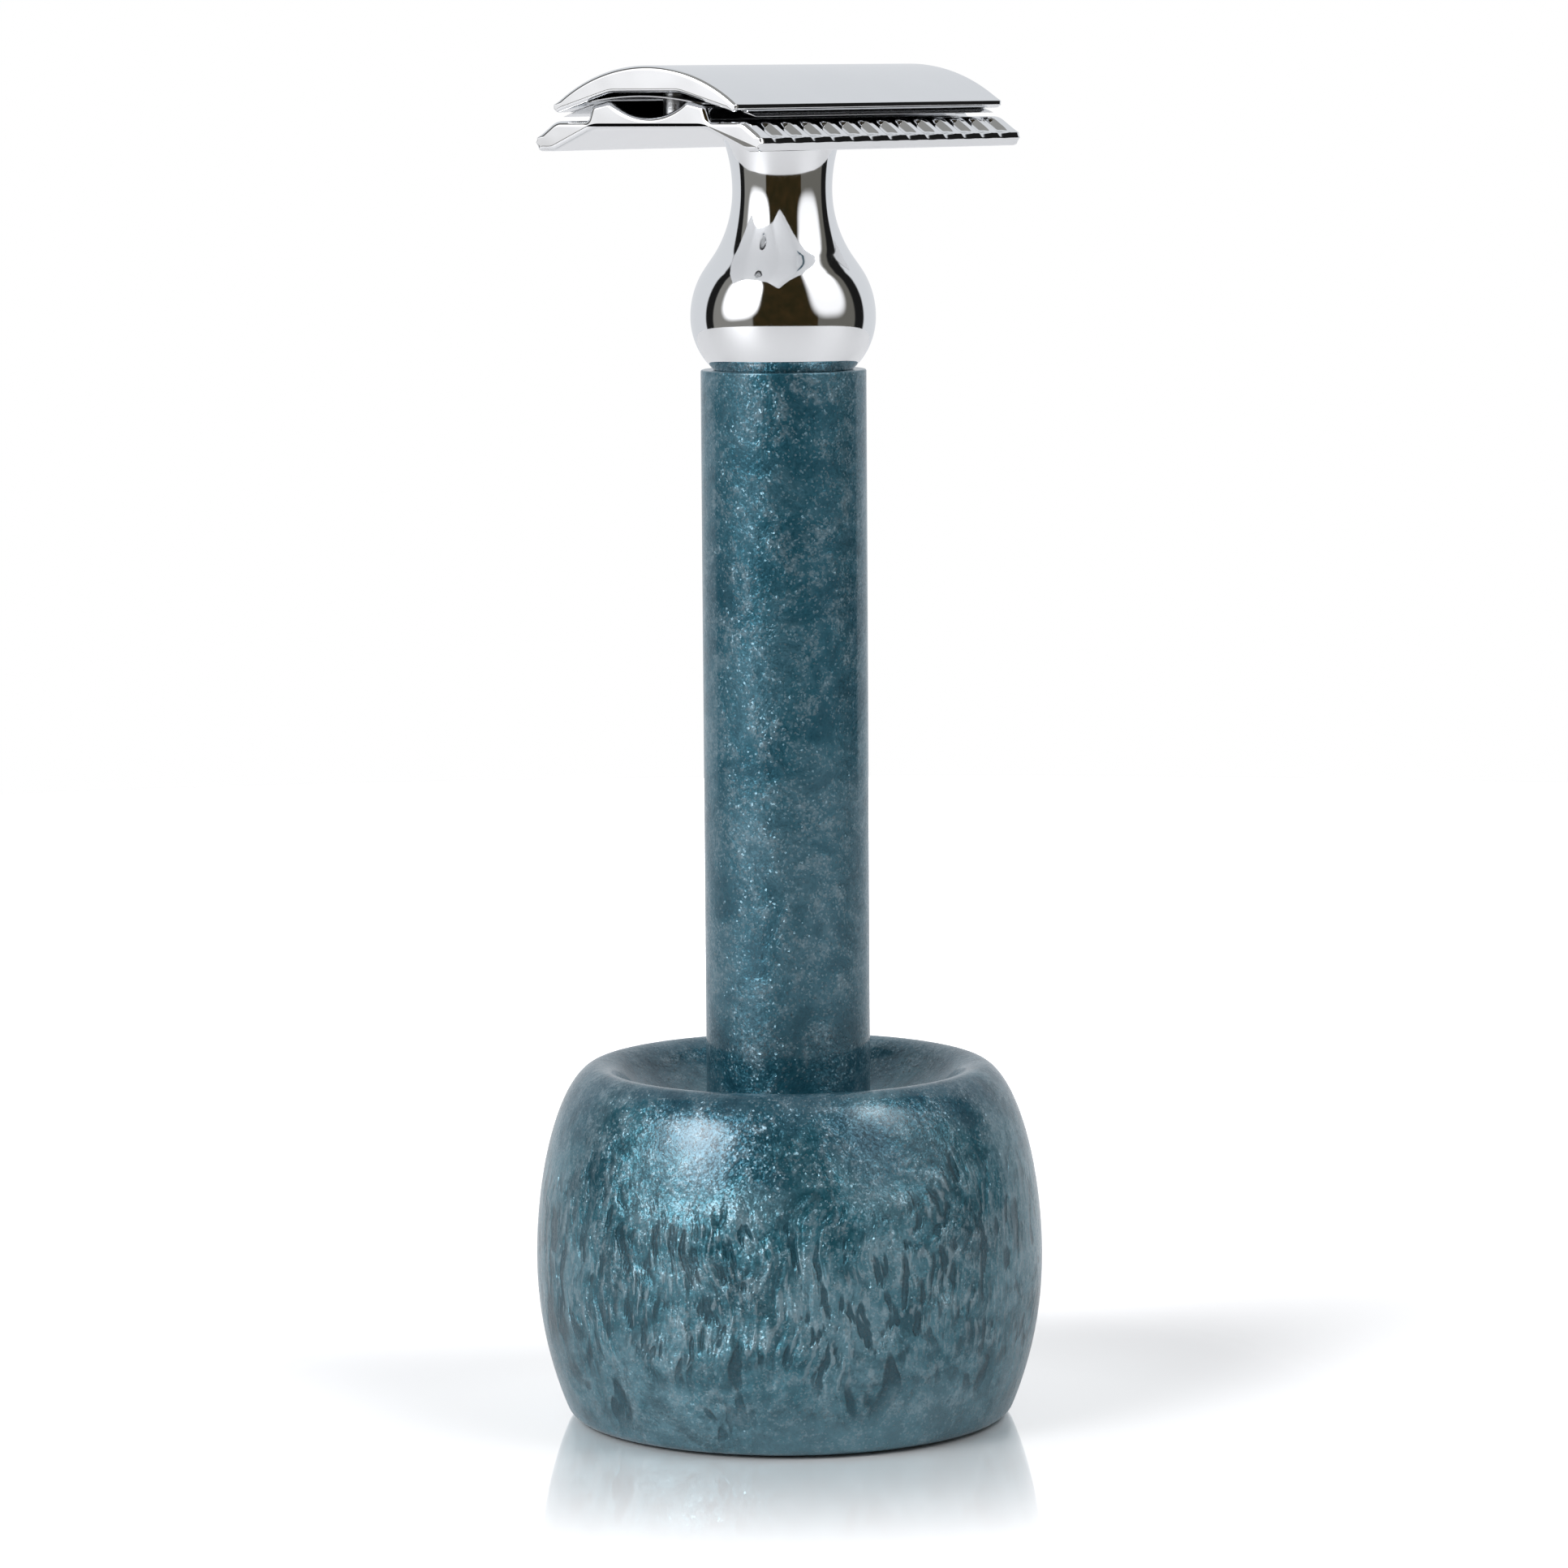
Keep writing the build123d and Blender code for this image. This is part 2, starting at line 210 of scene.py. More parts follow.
def inset_limits(outline: np.ndarray) -> np.ndarray:
    """Works out how far each point of a closed outline can move inwards before its neighbours cross it.

    Args:
        outline: The outline's points.

    Returns:
        The greatest inset of each point.
    """
    straight, unlimited, share, slope = 1e-3, 10.0, 0.8, 0.6
    out = normals_of(outline)
    after, turned = np.roll(outline, -1, axis=0) - outline, np.roll(out, -1, axis=0) - out
    length = np.linalg.norm(after, axis=1)
    bulge = np.sum(turned * after, axis=1) / np.maximum(length, TINY) ** 2
    corner = np.where(bulge > straight, share / np.maximum(bulge, straight), unlimited)
    corner = np.minimum(corner, np.roll(corner, 1))
    apart = np.linalg.norm(outline[:, None] - outline[None], axis=2)
    return np.min(corner[None] + slope * apart, axis=1)


def skin(name: str, rings: np.ndarray, first: Ending, last: Ending) -> bpy.types.Object:
    """Skins a stack of closed rings with quads.

    Args:
        name: The new piece's name.
        rings: Points in millimetres, as rings by points by three.
        first: How the first ring is closed. A point uses the ring's middle.
        last: How the last ring is closed.

    Returns:
        The piece, shaded smooth, with its edges kept crisp where they are sharp.
    """
    count, size = rings.shape[:2]
    points = rings.reshape(-1, 3) * MM
    faces = []
    begin = 1 if first is Ending.POINT else 0
    end = count - 1 if last is Ending.POINT else count
    for ring in range(begin, end - 1):
        for spot in range(size):
            after = (spot + 1) % size
            faces.append(
                (ring * size + spot, ring * size + after, (ring + 1) * size + after, (ring + 1) * size + spot)
            )
    for ending, ring, flip in ((first, begin, True), (last, end - 1, False)):
        loop = [ring * size + spot for spot in range(size)]
        if ending is Ending.FACE:
            faces.append(tuple(loop[::-1] if flip else loop))
        else:
            pole = (ring - 1 if flip else ring + 1) * size
            for spot in range(size):
                pair = (loop[spot], loop[(spot + 1) % size])
                faces.append((pole, *(pair[::-1] if flip else pair)))
    mesh = bpy.data.meshes.new(name)
    mesh.from_pydata(points.tolist(), [], faces)
    piece = bpy.data.objects.new(name, mesh)
    bpy.context.scene.collection.objects.link(piece)
    settle(piece)
    return piece


def settle(piece: bpy.types.Object) -> None:
    """Removes loose points, turns every face outwards and shades the piece smooth.

    Args:
        piece: A mesh. Its edges that turn by more than the crisp angle stay sharp.
    """
    work = bmesh.new()
    work.from_mesh(piece.data)
    loose = [spot for spot in work.verts if not spot.link_faces]
    bmesh.ops.delete(work, geom=loose, context="VERTS")
    bmesh.ops.remove_doubles(work, verts=work.verts, dist=WELD)
    bmesh.ops.recalc_face_normals(work, faces=work.faces)
    work.to_mesh(piece.data)
    work.free()
    piece.data.polygons.foreach_set("use_smooth", [True] * len(piece.data.polygons))
    piece.data.set_sharp_from_angle(angle=math.radians(CRISP))
    weigh(piece)


def weigh(piece: bpy.types.Object) -> None:
    """Lets broad faces rule the shading, so that flats beside a rounded edge stay flat."""
    if "weighted" not in piece.modifiers:
        piece.modifiers.new("weighted", "WEIGHTED_NORMAL").keep_sharp = True


def lathe(name: str, profile: np.ndarray, segments: int) -> bpy.types.Object:
    """Turns a profile about the upright axis.

    Args:
        name: The new piece's name.
        profile: Radius and height of each point, from axis to axis.
        segments: How many steps go round.

    Returns:
        The turned piece.
    """
    angles = np.linspace(0, 2 * math.pi, segments, endpoint=False)
    rings = np.stack(
        [
            profile[:, :1] * np.cos(angles),
            profile[:, :1] * np.sin(angles),
            np.repeat(profile[:, 1:], segments, axis=1),
        ],
        axis=2,
    )
    return skin(name, rings, Ending.POINT, Ending.POINT)


def extruded(
    name: str,
    outline: np.ndarray,
    half_length: float,
    rounding: float,
    step: float,
    carve: Callable[[np.ndarray], np.ndarray] | None = None,
) -> bpy.types.Object:
    """Runs a cross-section along X, with rounded ends.

    Args:
        name: The new piece's name.
        outline: The closed cross-section, as Y and Z.
        half_length: Half of the piece's length.
        rounding: Radius between the sides and the ends.
        step: Distance between cross-sections.
        carve: Moves the points of the whole surface, where the piece has grooves.

    Returns:
        The piece.
    """
    out, limits = normals_of(outline), inset_limits(outline)[:, None]
    bends = np.radians(np.linspace(90, 0, 8))
    edge = [(-half_length + rounding * (1 - math.sin(b)), rounding * (1 - math.cos(b))) for b in bends]
    inner = half_length - rounding
    middle = np.linspace(-inner, inner, int(2 * inner / step) + 1)[1:-1]
    stations = edge + [(x, 0.0) for x in middle] + [(-x, inset) for x, inset in edge[::-1]]
    share = np.minimum(1, limits / rounding)
    rings = np.stack(
        [np.column_stack([np.full(len(outline), x), outline - out * inset * share]) for x, inset in stations]
    )
    if carve is not None:
        rings = carve(rings)
    return skin(name, rings, Ending.FACE, Ending.FACE)


def helix_ridge(
    name: str, tooth: list[Point], pitch: float, start: float, turns: float, fade: float = 0.35
) -> bpy.types.Object:
    """Winds a thread's tooth upwards round the axis.

    Args:
        name: The new piece's name.
        tooth: Closed cross-section, as radius and height about its middle. Its first point is in the wall.
        pitch: Rise of one turn.
        start: Height of the tooth's middle where it begins, on the +X side.
        turns: How many turns it makes.
        fade: Turns over which it runs out at each end.

    Returns:
        The ridge.
    """
    profile = np.array(tooth)
    wall = profile[0, 0]
    per_turn, least = 72, 0.04
    rings = []
    for number in range(int(turns * per_turn) + 1):
        turn = number / per_turn
        height = min(1.0, max(least, turn / fade), max(least, (turns - turn) / fade))
        radii = wall + (profile[:, 0] - wall) * height
        angle = 2 * math.pi * turn
        rings.append(
            np.column_stack(
                [radii * math.cos(angle), radii * math.sin(angle), start + turn * pitch + profile[:, 1]]
            )
        )
    return skin(name, np.array(rings), Ending.FACE, Ending.FACE)


def place(piece: bpy.types.Object, body: str, slot: str, replaces: str | None = None) -> None:
    """Hangs a new piece on its body, hides the CAD node that it stands for, and reports it.

    Args:
        piece: The new piece.
        body: The body that it rides on.
        slot: A name for its finish. It is not used.
        replaces: The CAD node that it stands for.
    """
    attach(piece, body)
    if replaces:
        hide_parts(replaces)
    log.info("%s rides on %s with %d faces", piece.name, body, len(piece.data.polygons))


def dress(piece: bpy.types.Object, material: bpy.types.Material) -> None:
    """Gives a piece its one material.

    Args:
        piece: A new piece, or a CAD node whose own mesh stays as it is.
        material: The finish.
    """
    if not piece.data.materials:
        piece.data.materials.append(material)
        return
    for slot in piece.material_slots:
        slot.link = "OBJECT"
        slot.material = material


def keep(node: str, material: bpy.types.Material) -> None:
    """Dresses a CAD node that needs no new shape and reports it.

    Args:
        node: Its name.
        material: The finish.
    """
    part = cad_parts[node]
    weigh(part)
    dress(part, material)
    log.info("%s keeps its own shape and is dressed in %s", node, material.name)


# ---------------------------------------------------------------- node graphs


class Graph:
    """Writes a node tree: each call adds a node and gives back the socket it puts out."""

    def __init__(self, tree: bpy.types.NodeTree) -> None:
        """Empties the tree that is to be written."""
        self.tree = tree
        self.tree.nodes.clear()

    def node(self, kind: str, feeds: dict[str | int, Wire] | None = None, **settings) -> bpy.types.Node:
        """Adds a node.

        Args:
            kind: Its type.
            feeds: What goes into its sockets, as a value or another node's socket.
            **settings: Its own properties.

        Returns:
            The node.
        """
        made = self.tree.nodes.new(kind)
        made.location = (180 * (len(self.tree.nodes) % 12), -160 * (len(self.tree.nodes) // 12))
        for name, value in settings.items():
            setattr(made, name, value)
        for name, value in (feeds or {}).items():
            self.feed(made.inputs[name], value)
        return made

    def feed(self, socket: bpy.types.NodeSocket, value: Wire) -> None:
        """Links a socket into another, or sets its value.

        Args:
            socket: The socket that takes it.
            value: Another node's socket, a number, a vector or a colour.
        """
        if isinstance(value, bpy.types.NodeSocket):
            self.tree.links.new(value, socket)
        elif socket.type == "RGBA" and len(value) == 3:
            socket.default_value = (*value, 1.0)
        else:
            socket.default_value = value

    def feed_all(self, node: bpy.types.Node, feeds: dict[str | int, Wire]) -> None:
        """Feeds several sockets of a node, by their names."""
        for name, value in feeds.items():
            self.feed(node.inputs[name], value)

    def math(
        self, operation: str, first: Wire, second: Wire = 0.0, clamp: bool = False
    ) -> bpy.types.NodeSocket:
        """Returns the result of arithmetic on one or two numbers."""
        made = self.node("ShaderNodeMath", {0: first, 1: second}, operation=operation, use_clamp=clamp)
        return made.outputs[0]

    def times(self, *factors: Wire) -> bpy.types.NodeSocket:
        """Returns the product of two or more numbers."""
        return reduce(lambda product, factor: self.math("MULTIPLY", product, factor), factors)

    def plus(self, *terms: Wire) -> bpy.types.NodeSocket:
        """Returns the sum of two or more numbers."""
        return reduce(lambda total, term: self.math("ADD", total, term), terms)

    def vector(self, operation: str, first: Wire, second: Wire) -> bpy.types.NodeSocket:
        """Returns the result of arithmetic on two vectors: a number for a dot product, and else a vector."""
        made = self.node("ShaderNodeVectorMath", {0: first, 1: second}, operation=operation)
        return made.outputs["Value" if operation == "DOT_PRODUCT" else "Vector"]

    def scaled(self, vector: Wire, scale: Wire) -> bpy.types.NodeSocket:
        """Returns a vector times a number."""
        return self.node("ShaderNodeVectorMath", {0: vector, "Scale": scale}, operation="SCALE").outputs[0]

    def fade(
        self, value: Wire, low: float, high: float, to_low: float = 0.0, to_high: float = 1.0
    ) -> bpy.types.NodeSocket:
        """Writes a smooth step.

        Args:
            value: What it follows.
            low: The value where it starts.
            high: The value where it ends.
            to_low: What it gives up to the start.
            to_high: What it gives from the end on.

        Returns:
            The step.
        """
        made = self.node(
            "ShaderNodeMapRange",
            {"Value": value, "From Min": low, "From Max": high, "To Min": to_low, "To Max": to_high},
            interpolation_type="SMOOTHSTEP",
        )
        return made.outputs["Result"]

    def band(self, value: Wire, edges: Edges) -> bpy.types.NodeSocket:
        """Returns 1 between two soft edges and 0 outside them."""
        start, full, fading, end = edges
        return self.times(self.fade(value, fading, end, 1.0, 0.0), self.fade(value, start, full))

    def mix(self, share: Wire, first: Wire, second: Wire) -> bpy.types.NodeSocket:
        """Writes a mixture of two colours.

        Args:
            share: How much of the second colour shows.
            first: One colour.
            second: The other colour.

        Returns:
            The mixture.
        """
        # With colours, this node's share is socket 0, and the two colours are sockets 6 and 7.
        made = self.node("ShaderNodeMix", data_type="RGBA")
        for number, value in zip((0, 6, 7), (share, first, second)):
            self.feed(made.inputs[number], value)
        return made.outputs[2]

    def grey(self, value: Wire, blue: float = 1.0) -> bpy.types.NodeSocket:
        """Returns a grey of a given brightness, with its blue made stronger or weaker."""
        cool = value if blue == 1.0 else self.times(value, blue)
        return self.node("ShaderNodeCombineColor", {0: value, 1: value, 2: cool}).outputs[0]

    def noise(self, where: Wire, scale: float, detail: float, roughness: float = 0.5) -> bpy.types.Node:
        """Returns a 3-D noise node, with its scale in waves per unit of the place that it reads."""
        feeds = {"Vector": where, "Scale": scale, "Detail": detail, "Roughness": roughness}
        return self.node("ShaderNodeTexNoise", feeds)

    def relief(self, height: Wire, distance: Wire, strength: float = 1.0) -> bpy.types.NodeSocket:
        """Returns the surface's direction as a height bends it, with the distance in metres."""
        made = self.node("ShaderNodeBump", {"Height": height, "Strength": strength, "Distance": distance})
        return made.outputs[0]

    def by_camera(self, seen: bpy.types.NodeSocket, otherwise: bpy.types.NodeSocket) -> bpy.types.NodeSocket:
        """Returns one shader where the camera looks, and another for light and for mirror images."""
        path = self.node("ShaderNodeLightPath").outputs["Is Camera Ray"]
        return self.node("ShaderNodeMixShader", {0: path, 1: otherwise, 2: seen}).outputs[0]

    def millimetres(self) -> bpy.types.NodeSocket:
        """Returns the piece's own coordinates in millimetres."""
        place_on_piece = self.node("ShaderNodeTexCoord").outputs["Object"]
        return self.vector("MULTIPLY", place_on_piece, (1 / MM, 1 / MM, 1 / MM))


def make_group(
    name: str, takes: dict[str, str], gives: dict[str, str], write: Callable[[Graph, Sockets], Sockets]
) -> bpy.types.NodeTree:
    """Builds a shader node group with named sockets.

    Args:
        name: The group's name.
        takes: Socket type of each input.
        gives: Socket type of each output.
        write: Writes the graph. It gets the graph and its input sockets, and returns its outputs by name.

    Returns:
        The group.
    """
    tree = bpy.data.node_groups.new(name, "ShaderNodeTree")
    for sockets, way in ((takes, "INPUT"), (gives, "OUTPUT")):
        for label, kind in sockets.items():
            tree.interface.new_socket(name=label, in_out=way, socket_type=kind)
    graph = Graph(tree)
    inlet = graph.node("NodeGroupInput")
    outlet = graph.node("NodeGroupOutput")
    for label, socket in write(graph, {label: inlet.outputs[label] for label in takes}).items():
        tree.links.new(socket, outlet.inputs[label])
    return tree


@dataclass(frozen=True)
class PigmentFlow:
    """Pearl pigment that flowed while its resin set.

    Near the top it lies in a fine even grain, lower down it is drawn into upright streaks, and near the
    bottom it breaks into smooth patches. Single flakes lean at odd angles and flash. Scales are in waves
    per millimetre, levels in millimetres from the streaks' upper end, and thresholds are noise values.
    """

    drift_scale: float = 0.10
    wander: float = 22.0
    grain_scale: float = 1.3
    clump_scale: float = 0.36
    streak_scale: float = 0.85
    root_scale: float = 0.46
    fine_scale: float = 1.7
    patch_scale: float = 0.11
    flake_scale: float = 5.5
    streak_levels: Edges = (-19.0, -13.0, -4.0, 3.0)
    root_levels: Edges = (-23.0, -18.0, -14.0, -9.0)
    crease_threshold: Span = (0.37, 0.435)
    hollow_threshold: Span = (0.365, 0.43)
    silver_highlight_threshold: Span = (0.54, 0.66)
    pearl_clump: Span = (0.50, 0.64)
    pearl_grain: Span = (0.42, 0.60)
    pearl_strength: float = 0.6
    streak_relief: float = 2.9
    root_relief: float = 3.8
    clump_relief: float = 1.1
    grain_relief: float = 0.30
    sunk_relief: float = -0.35
    flakes_in_clumps: Span = (0.38, 0.62)
    flake_rarity: Span = (0.97, 0.70)
    still_lean: float = 0.4

    def leaning(self, graph: Graph, take: Sockets, clump: Wire) -> tuple[Wire, Wire]:
        """Writes the flakes.

        Args:
            graph: The group's graph.
            take: The group's inputs by name.
            clump: How dense the pigment is.

        Returns:
            The flakes' mask, and the direction that the surface faces with each flake's own lean.
        """
        cells = graph.node("ShaderNodeTexVoronoi", {"Vector": take["Place"], "Scale": self.flake_scale})
        chance = graph.node("ShaderNodeTexWhiteNoise", {"Vector": cells.outputs["Position"]}).outputs["Value"]
        needed = graph.fade(clump, *self.flakes_in_clumps, *self.flake_rarity)
        flake = graph.math("GREATER_THAN", chance, needed)
        tilt = graph.times(take["Lean"], graph.plus(graph.times(flake, 1 - self.still_lean), self.still_lean))
        lean = graph.scaled(graph.vector("SUBTRACT", cells.outputs["Color"], (0.5, 0.5, 0.5)), tilt)
        facing = graph.vector("ADD", graph.node("ShaderNodeNewGeometry").outputs["Normal"], lean)
        return flake, graph.node("ShaderNodeVectorMath", {0: facing}, operation="NORMALIZE").outputs[0]

    def write(self, graph: Graph, take: Sockets) -> Sockets:
        """Writes the group.

        Args:
            graph: The group's graph.
            take: The group's inputs by name.

        Returns:
            Its masks and its bent surface direction, by name.
        """
        where = take["Place"]
        height = graph.node("ShaderNodeSeparateXYZ", {0: where}).outputs["Z"]
        drift = graph.noise(where, self.drift_scale, 2.0)
        drift_out = graph.vector("SUBTRACT", drift.outputs["Color"], (0.5, 0.5, 0.5))
        moved = graph.vector("ADD", where, graph.scaled(drift_out, take["Swirl"]))
        drawn = graph.vector("MULTIPLY", moved, take["Draw"])
        wander = graph.times(graph.math("SUBTRACT", drift.outputs[0], 0.5), self.wander)
        level = graph.math("SUBTRACT", graph.plus(height, wander), take["Streaks Top"])
        streaked, rooted = graph.band(level, self.streak_levels), graph.band(level, self.root_levels)
        grain = graph.noise(where, self.grain_scale, 3.0, 0.6).outputs[0]
        clump = graph.noise(moved, self.clump_scale, 4.0, 0.62).outputs[0]
        streak = graph.noise(drawn, self.streak_scale, 2.0, 0.45).outputs[0]
        root = graph.noise(drawn, self.root_scale, 2.0, 0.45).outputs[0]
        patch = graph.noise(moved, self.patch_scale, 3.0, 0.6).outputs[0]
        fine = graph.noise(drawn, self.fine_scale, 2.0).outputs[0]
        crease = graph.times(graph.fade(streak, *self.crease_threshold, 1.0, 0.0), streaked)
        hollow = graph.times(graph.fade(root, *self.hollow_threshold, 1.0, 0.0), rooted)
        dark = graph.math("MAXIMUM", crease, hollow)
        pearl = graph.times(
            graph.fade(clump, *self.pearl_clump), graph.fade(grain, *self.pearl_grain), self.pearl_strength
        )
        # Silver pigment in the streaks and the pearl clumps; on the streaks it is partly a painted highlight.
        silver_and_highlight = graph.math("MAXIMUM", graph.times(graph.fade(fine, *self.silver_highlight_threshold), streaked), pearl)
        relief = graph.plus(
            graph.times(streak, self.streak_relief, streaked),
            graph.times(root, self.root_relief, rooted),
            graph.times(clump, self.clump_relief),
            graph.times(grain, self.grain_relief),
            graph.times(dark, self.sunk_relief),
        )
        flake, facing = self.leaning(graph, take, clump)
        feeds = {"Height": relief, "Strength": 1.0, "Distance": take["Relief"], "Normal": facing}
        bump = graph.node("ShaderNodeBump", feeds)
        return {
            "Dark": dark,
            "Silver": silver_and_highlight,
            "Patch": patch,
            "Grain": graph.times(graph.plus(grain, clump), 0.5),
            "Mottle": clump,
            "Flake": flake,
            "Level": level,
            "Normal": bump.outputs[0],
        }


def write_handling(graph: Graph, take: Sockets) -> Sockets:
    """Writes the faint unevenness of a polished surface.

    Args:
        graph: The group's graph.
        take: The group's inputs by name.

    Returns:
        A slow waviness and the roughness with a fine haze, by name.
    """
    wave = graph.noise(take["Place"], 0.22, 1.0)
    haze = graph.noise(take["Place"], 0.9, 4.0, 0.6)
    spread = graph.times(graph.math("SUBTRACT", haze.outputs[0], 0.5), take["Spread"])
    return {"Wave": wave.outputs[0], "Roughness": graph.math("ADD", take["Roughness"], spread, clamp=True)}


def write_turning(graph: Graph, take: Sockets) -> Sockets:
    """Writes the fine rings left by a lathe.

    Args:
        graph: The group's graph.
        take: The group's inputs by name.

    Returns:
        A height that changes along the upright axis, by name.
    """
    parts = graph.node("ShaderNodeSeparateXYZ", {0: take["Place"]})
    wander = graph.noise(take["Place"], 0.4, 2.0)
    rise = graph.plus(parts.outputs["Z"], graph.times(wander.outputs[0], 0.05))
    lines = graph.node(
        "ShaderNodeTexNoise", {"W": rise, "Scale": take["Lines"], "Detail": 2.0}, noise_dimensions="1D"
    )
    return {"Height": lines.outputs[0]}


@dataclass
class EffectShelf:
    """The effects that several finishes share, each built once."""

    flow: bpy.types.NodeTree = field(init=False)
    handling: bpy.types.NodeTree = field(init=False)
    turning: bpy.types.NodeTree = field(init=False)

    def __post_init__(self) -> None:
        """Builds the groups."""
        flow_takes = {"Place": VECTOR, "Draw": VECTOR}
        flow_takes.update(dict.fromkeys(("Swirl", "Streaks Top", "Lean", "Relief"), NUMBER))
        flow_gives = dict.fromkeys(("Dark", "Silver", "Patch", "Grain", "Mottle", "Flake", "Level"), NUMBER)
        flow_gives["Normal"] = VECTOR
        self.flow = make_group("pearl pigment flow", flow_takes, flow_gives, PigmentFlow().write)
        self.handling = make_group(
            "polished unevenness",
            {"Place": VECTOR, "Roughness": NUMBER, "Spread": NUMBER},
            {"Wave": NUMBER, "Roughness": NUMBER},
            write_handling,
        )
        self.turning = make_group(
            "turning rings", {"Place": VECTOR, "Lines": NUMBER}, {"Height": NUMBER}, write_turning
        )


def new_material(name: str) -> tuple[bpy.types.Material, Graph, bpy.types.Node]:
    """Starts a material.

    Args:
        name: Its name.

    Returns:
        The material, its graph, and its Principled shader, which is already linked to the output.
    """
    material = bpy.data.materials.new(name)
    material.use_nodes = True
    graph = Graph(material.node_tree)
    shader = graph.node("ShaderNodeBsdfPrincipled")
    graph.node("ShaderNodeOutputMaterial", {"Surface": shader.outputs[0]})
    return material, graph, shader


def darker(colour: Colour, share: float) -> Colour:
    """Returns a colour at a share of its brightness."""
    return tuple(share * part for part in colour)


@dataclass(frozen=True)
class PearlResin:
    """Cast resin with pearl pigment, turned and polished under its own clear surface.

    Deep is resin without pigment, night a darker tone towards the top above the streaks, and silver the bare
    flakes and, on the streaks, partly a painted highlight.
    """

    name: str
    deep: Colour = (0.0010, 0.036, 0.054)
    body: Colour = (0.021, 0.122, 0.162)
    pale: Colour = (0.120, 0.230, 0.278)
    silver_and_highlight: Colour = (0.34, 0.42, 0.46)
    night: Colour = (0.006, 0.038, 0.070)
    sheen: Colour = (0.56, 0.70, 0.77)
    draw: tuple[float, float, float] = (1.0, 1.0, 0.30)
    swirl: float = 5.0
    streaks_top: float = 25.0
    lean: float = 0.6
    relief: float = 0.00030
    metallic: float = 0.55
    roughness: float = 0.36
    ior: float = 1.62
    polish: float = 0.7
    polish_roughness: float = 0.09
    polish_ior: float = 1.42

    def colour(self, graph: Graph, flow: bpy.types.Node) -> bpy.types.NodeSocket:
        """Lays the resin's colours over each other.

        Args:
            graph: The material's graph.
            flow: The pigment's group node.

        Returns:
            The colour.
        """
        give = flow.outputs
        layers = (
            (graph.fade(give["Patch"], 0.32, 0.56, 0.35, 1.0), self.body),
            (graph.fade(give["Patch"], 0.47, 0.62, 0.0, 0.55), self.pale),
            (graph.fade(give["Mottle"], 0.36, 0.50, 0.5, 0.0), self.deep),
            (graph.times(graph.fade(give["Grain"], 0.42, 0.66), 0.5), self.pale),
            # Darker towards the top, above the streaks.
            (graph.fade(give["Level"], 1.0, 8.0, 0.0, 0.52), self.night),
            (graph.fade(give["Level"], -24.0, -16.0, 0.45, 0.0), self.pale),
            # Silver pigment on the streaks, partly a painted highlight.
            (graph.times(give["Silver"], 0.33), self.silver_and_highlight),
            (graph.times(give["Flake"], 0.2), self.silver_and_highlight),
            (graph.times(give["Dark"], 0.8), self.deep),
        )
        base: Wire = self.deep
        for share, tone in layers:
            base = graph.mix(share, base, tone)
        return base

    def material(self, shelf: EffectShelf) -> bpy.types.Material:
        """Builds the finish.

        Args:
            shelf: The shared effects.

        Returns:
            The material.
        """
        material, graph, shader = new_material(self.name)
        flow = graph.node(
            "ShaderNodeGroup",
            {
                "Place": graph.millimetres(),
                "Draw": self.draw,
                "Swirl": self.swirl,
                "Streaks Top": self.streaks_top,
                "Lean": self.lean,
                "Relief": self.relief,
            },
            node_tree=shelf.flow,
        )
        graph.feed_all(
            shader,
            {
                "Base Color": self.colour(graph, flow),
                "Normal": flow.outputs["Normal"],
                "Metallic": self.metallic,
                "Roughness": self.roughness,
                "IOR": self.ior,
                "Specular Tint": self.sheen,
                "Coat Weight": self.polish,
                "Coat Roughness": self.polish_roughness,
                "Coat IOR": self.polish_ior,
            },
        )
        return material


@dataclass(frozen=True)
class PolishedChrome:
    """Bright chrome plate over a polished casting."""

    name: str
    colour: Colour = (0.86, 0.87, 0.88)
    shade: float = 0.97
    roughness: float = 0.05
    spread: float = 0.03
    wave_depth: float = 0.00002

    def material(self, shelf: EffectShelf) -> bpy.types.Material:
        """Builds the finish.

        Args:
            shelf: The shared effects.

        Returns:
            The material.
        """
        material, graph, shader = new_material(self.name)
        handling = graph.node(
            "ShaderNodeGroup",
            {"Place": graph.millimetres(), "Roughness": self.roughness, "Spread": self.spread},
            node_tree=shelf.handling,
        )
        wave = handling.outputs["Wave"]
        graph.feed_all(
            shader,
            {
                "Base Color": graph.mix(wave, self.colour, darker(self.colour, self.shade)),
                "Metallic": 1.0,
                "Roughness": handling.outputs["Roughness"],
                "Normal": graph.relief(wave, self.wave_depth),
            },
        )
        return material


@dataclass(frozen=True)
class TurnedMetal:
    """Metal with the fine rings of a lathe."""

    name: str
    colour: Colour
    shade: float = 0.72
    roughness: float = 0.28
    spread: float = 0.16
    lines: float = 14.0
    depth: float = 0.00001

    def material(self, shelf: EffectShelf) -> bpy.types.Material:
        """Builds the finish.

        Args:
            shelf: The shared effects.

        Returns:
            The material.
        """
        material, graph, shader = new_material(self.name)
        where = graph.millimetres()
        turning = graph.node(
            "ShaderNodeGroup", {"Place": where, "Lines": self.lines}, node_tree=shelf.turning
        )
        handling = graph.node(
            "ShaderNodeGroup",
            {"Place": where, "Roughness": self.roughness, "Spread": self.spread},
            node_tree=shelf.handling,
        )
        rings = turning.outputs["Height"]
        graph.feed_all(
            shader,
            {
                "Base Color": graph.mix(rings, self.colour, darker(self.colour, self.shade)),
                "Metallic": 1.0,
                "Roughness": handling.outputs["Roughness"],
                "Normal": graph.relief(rings, self.depth, 0.8),
            },
        )
        return material


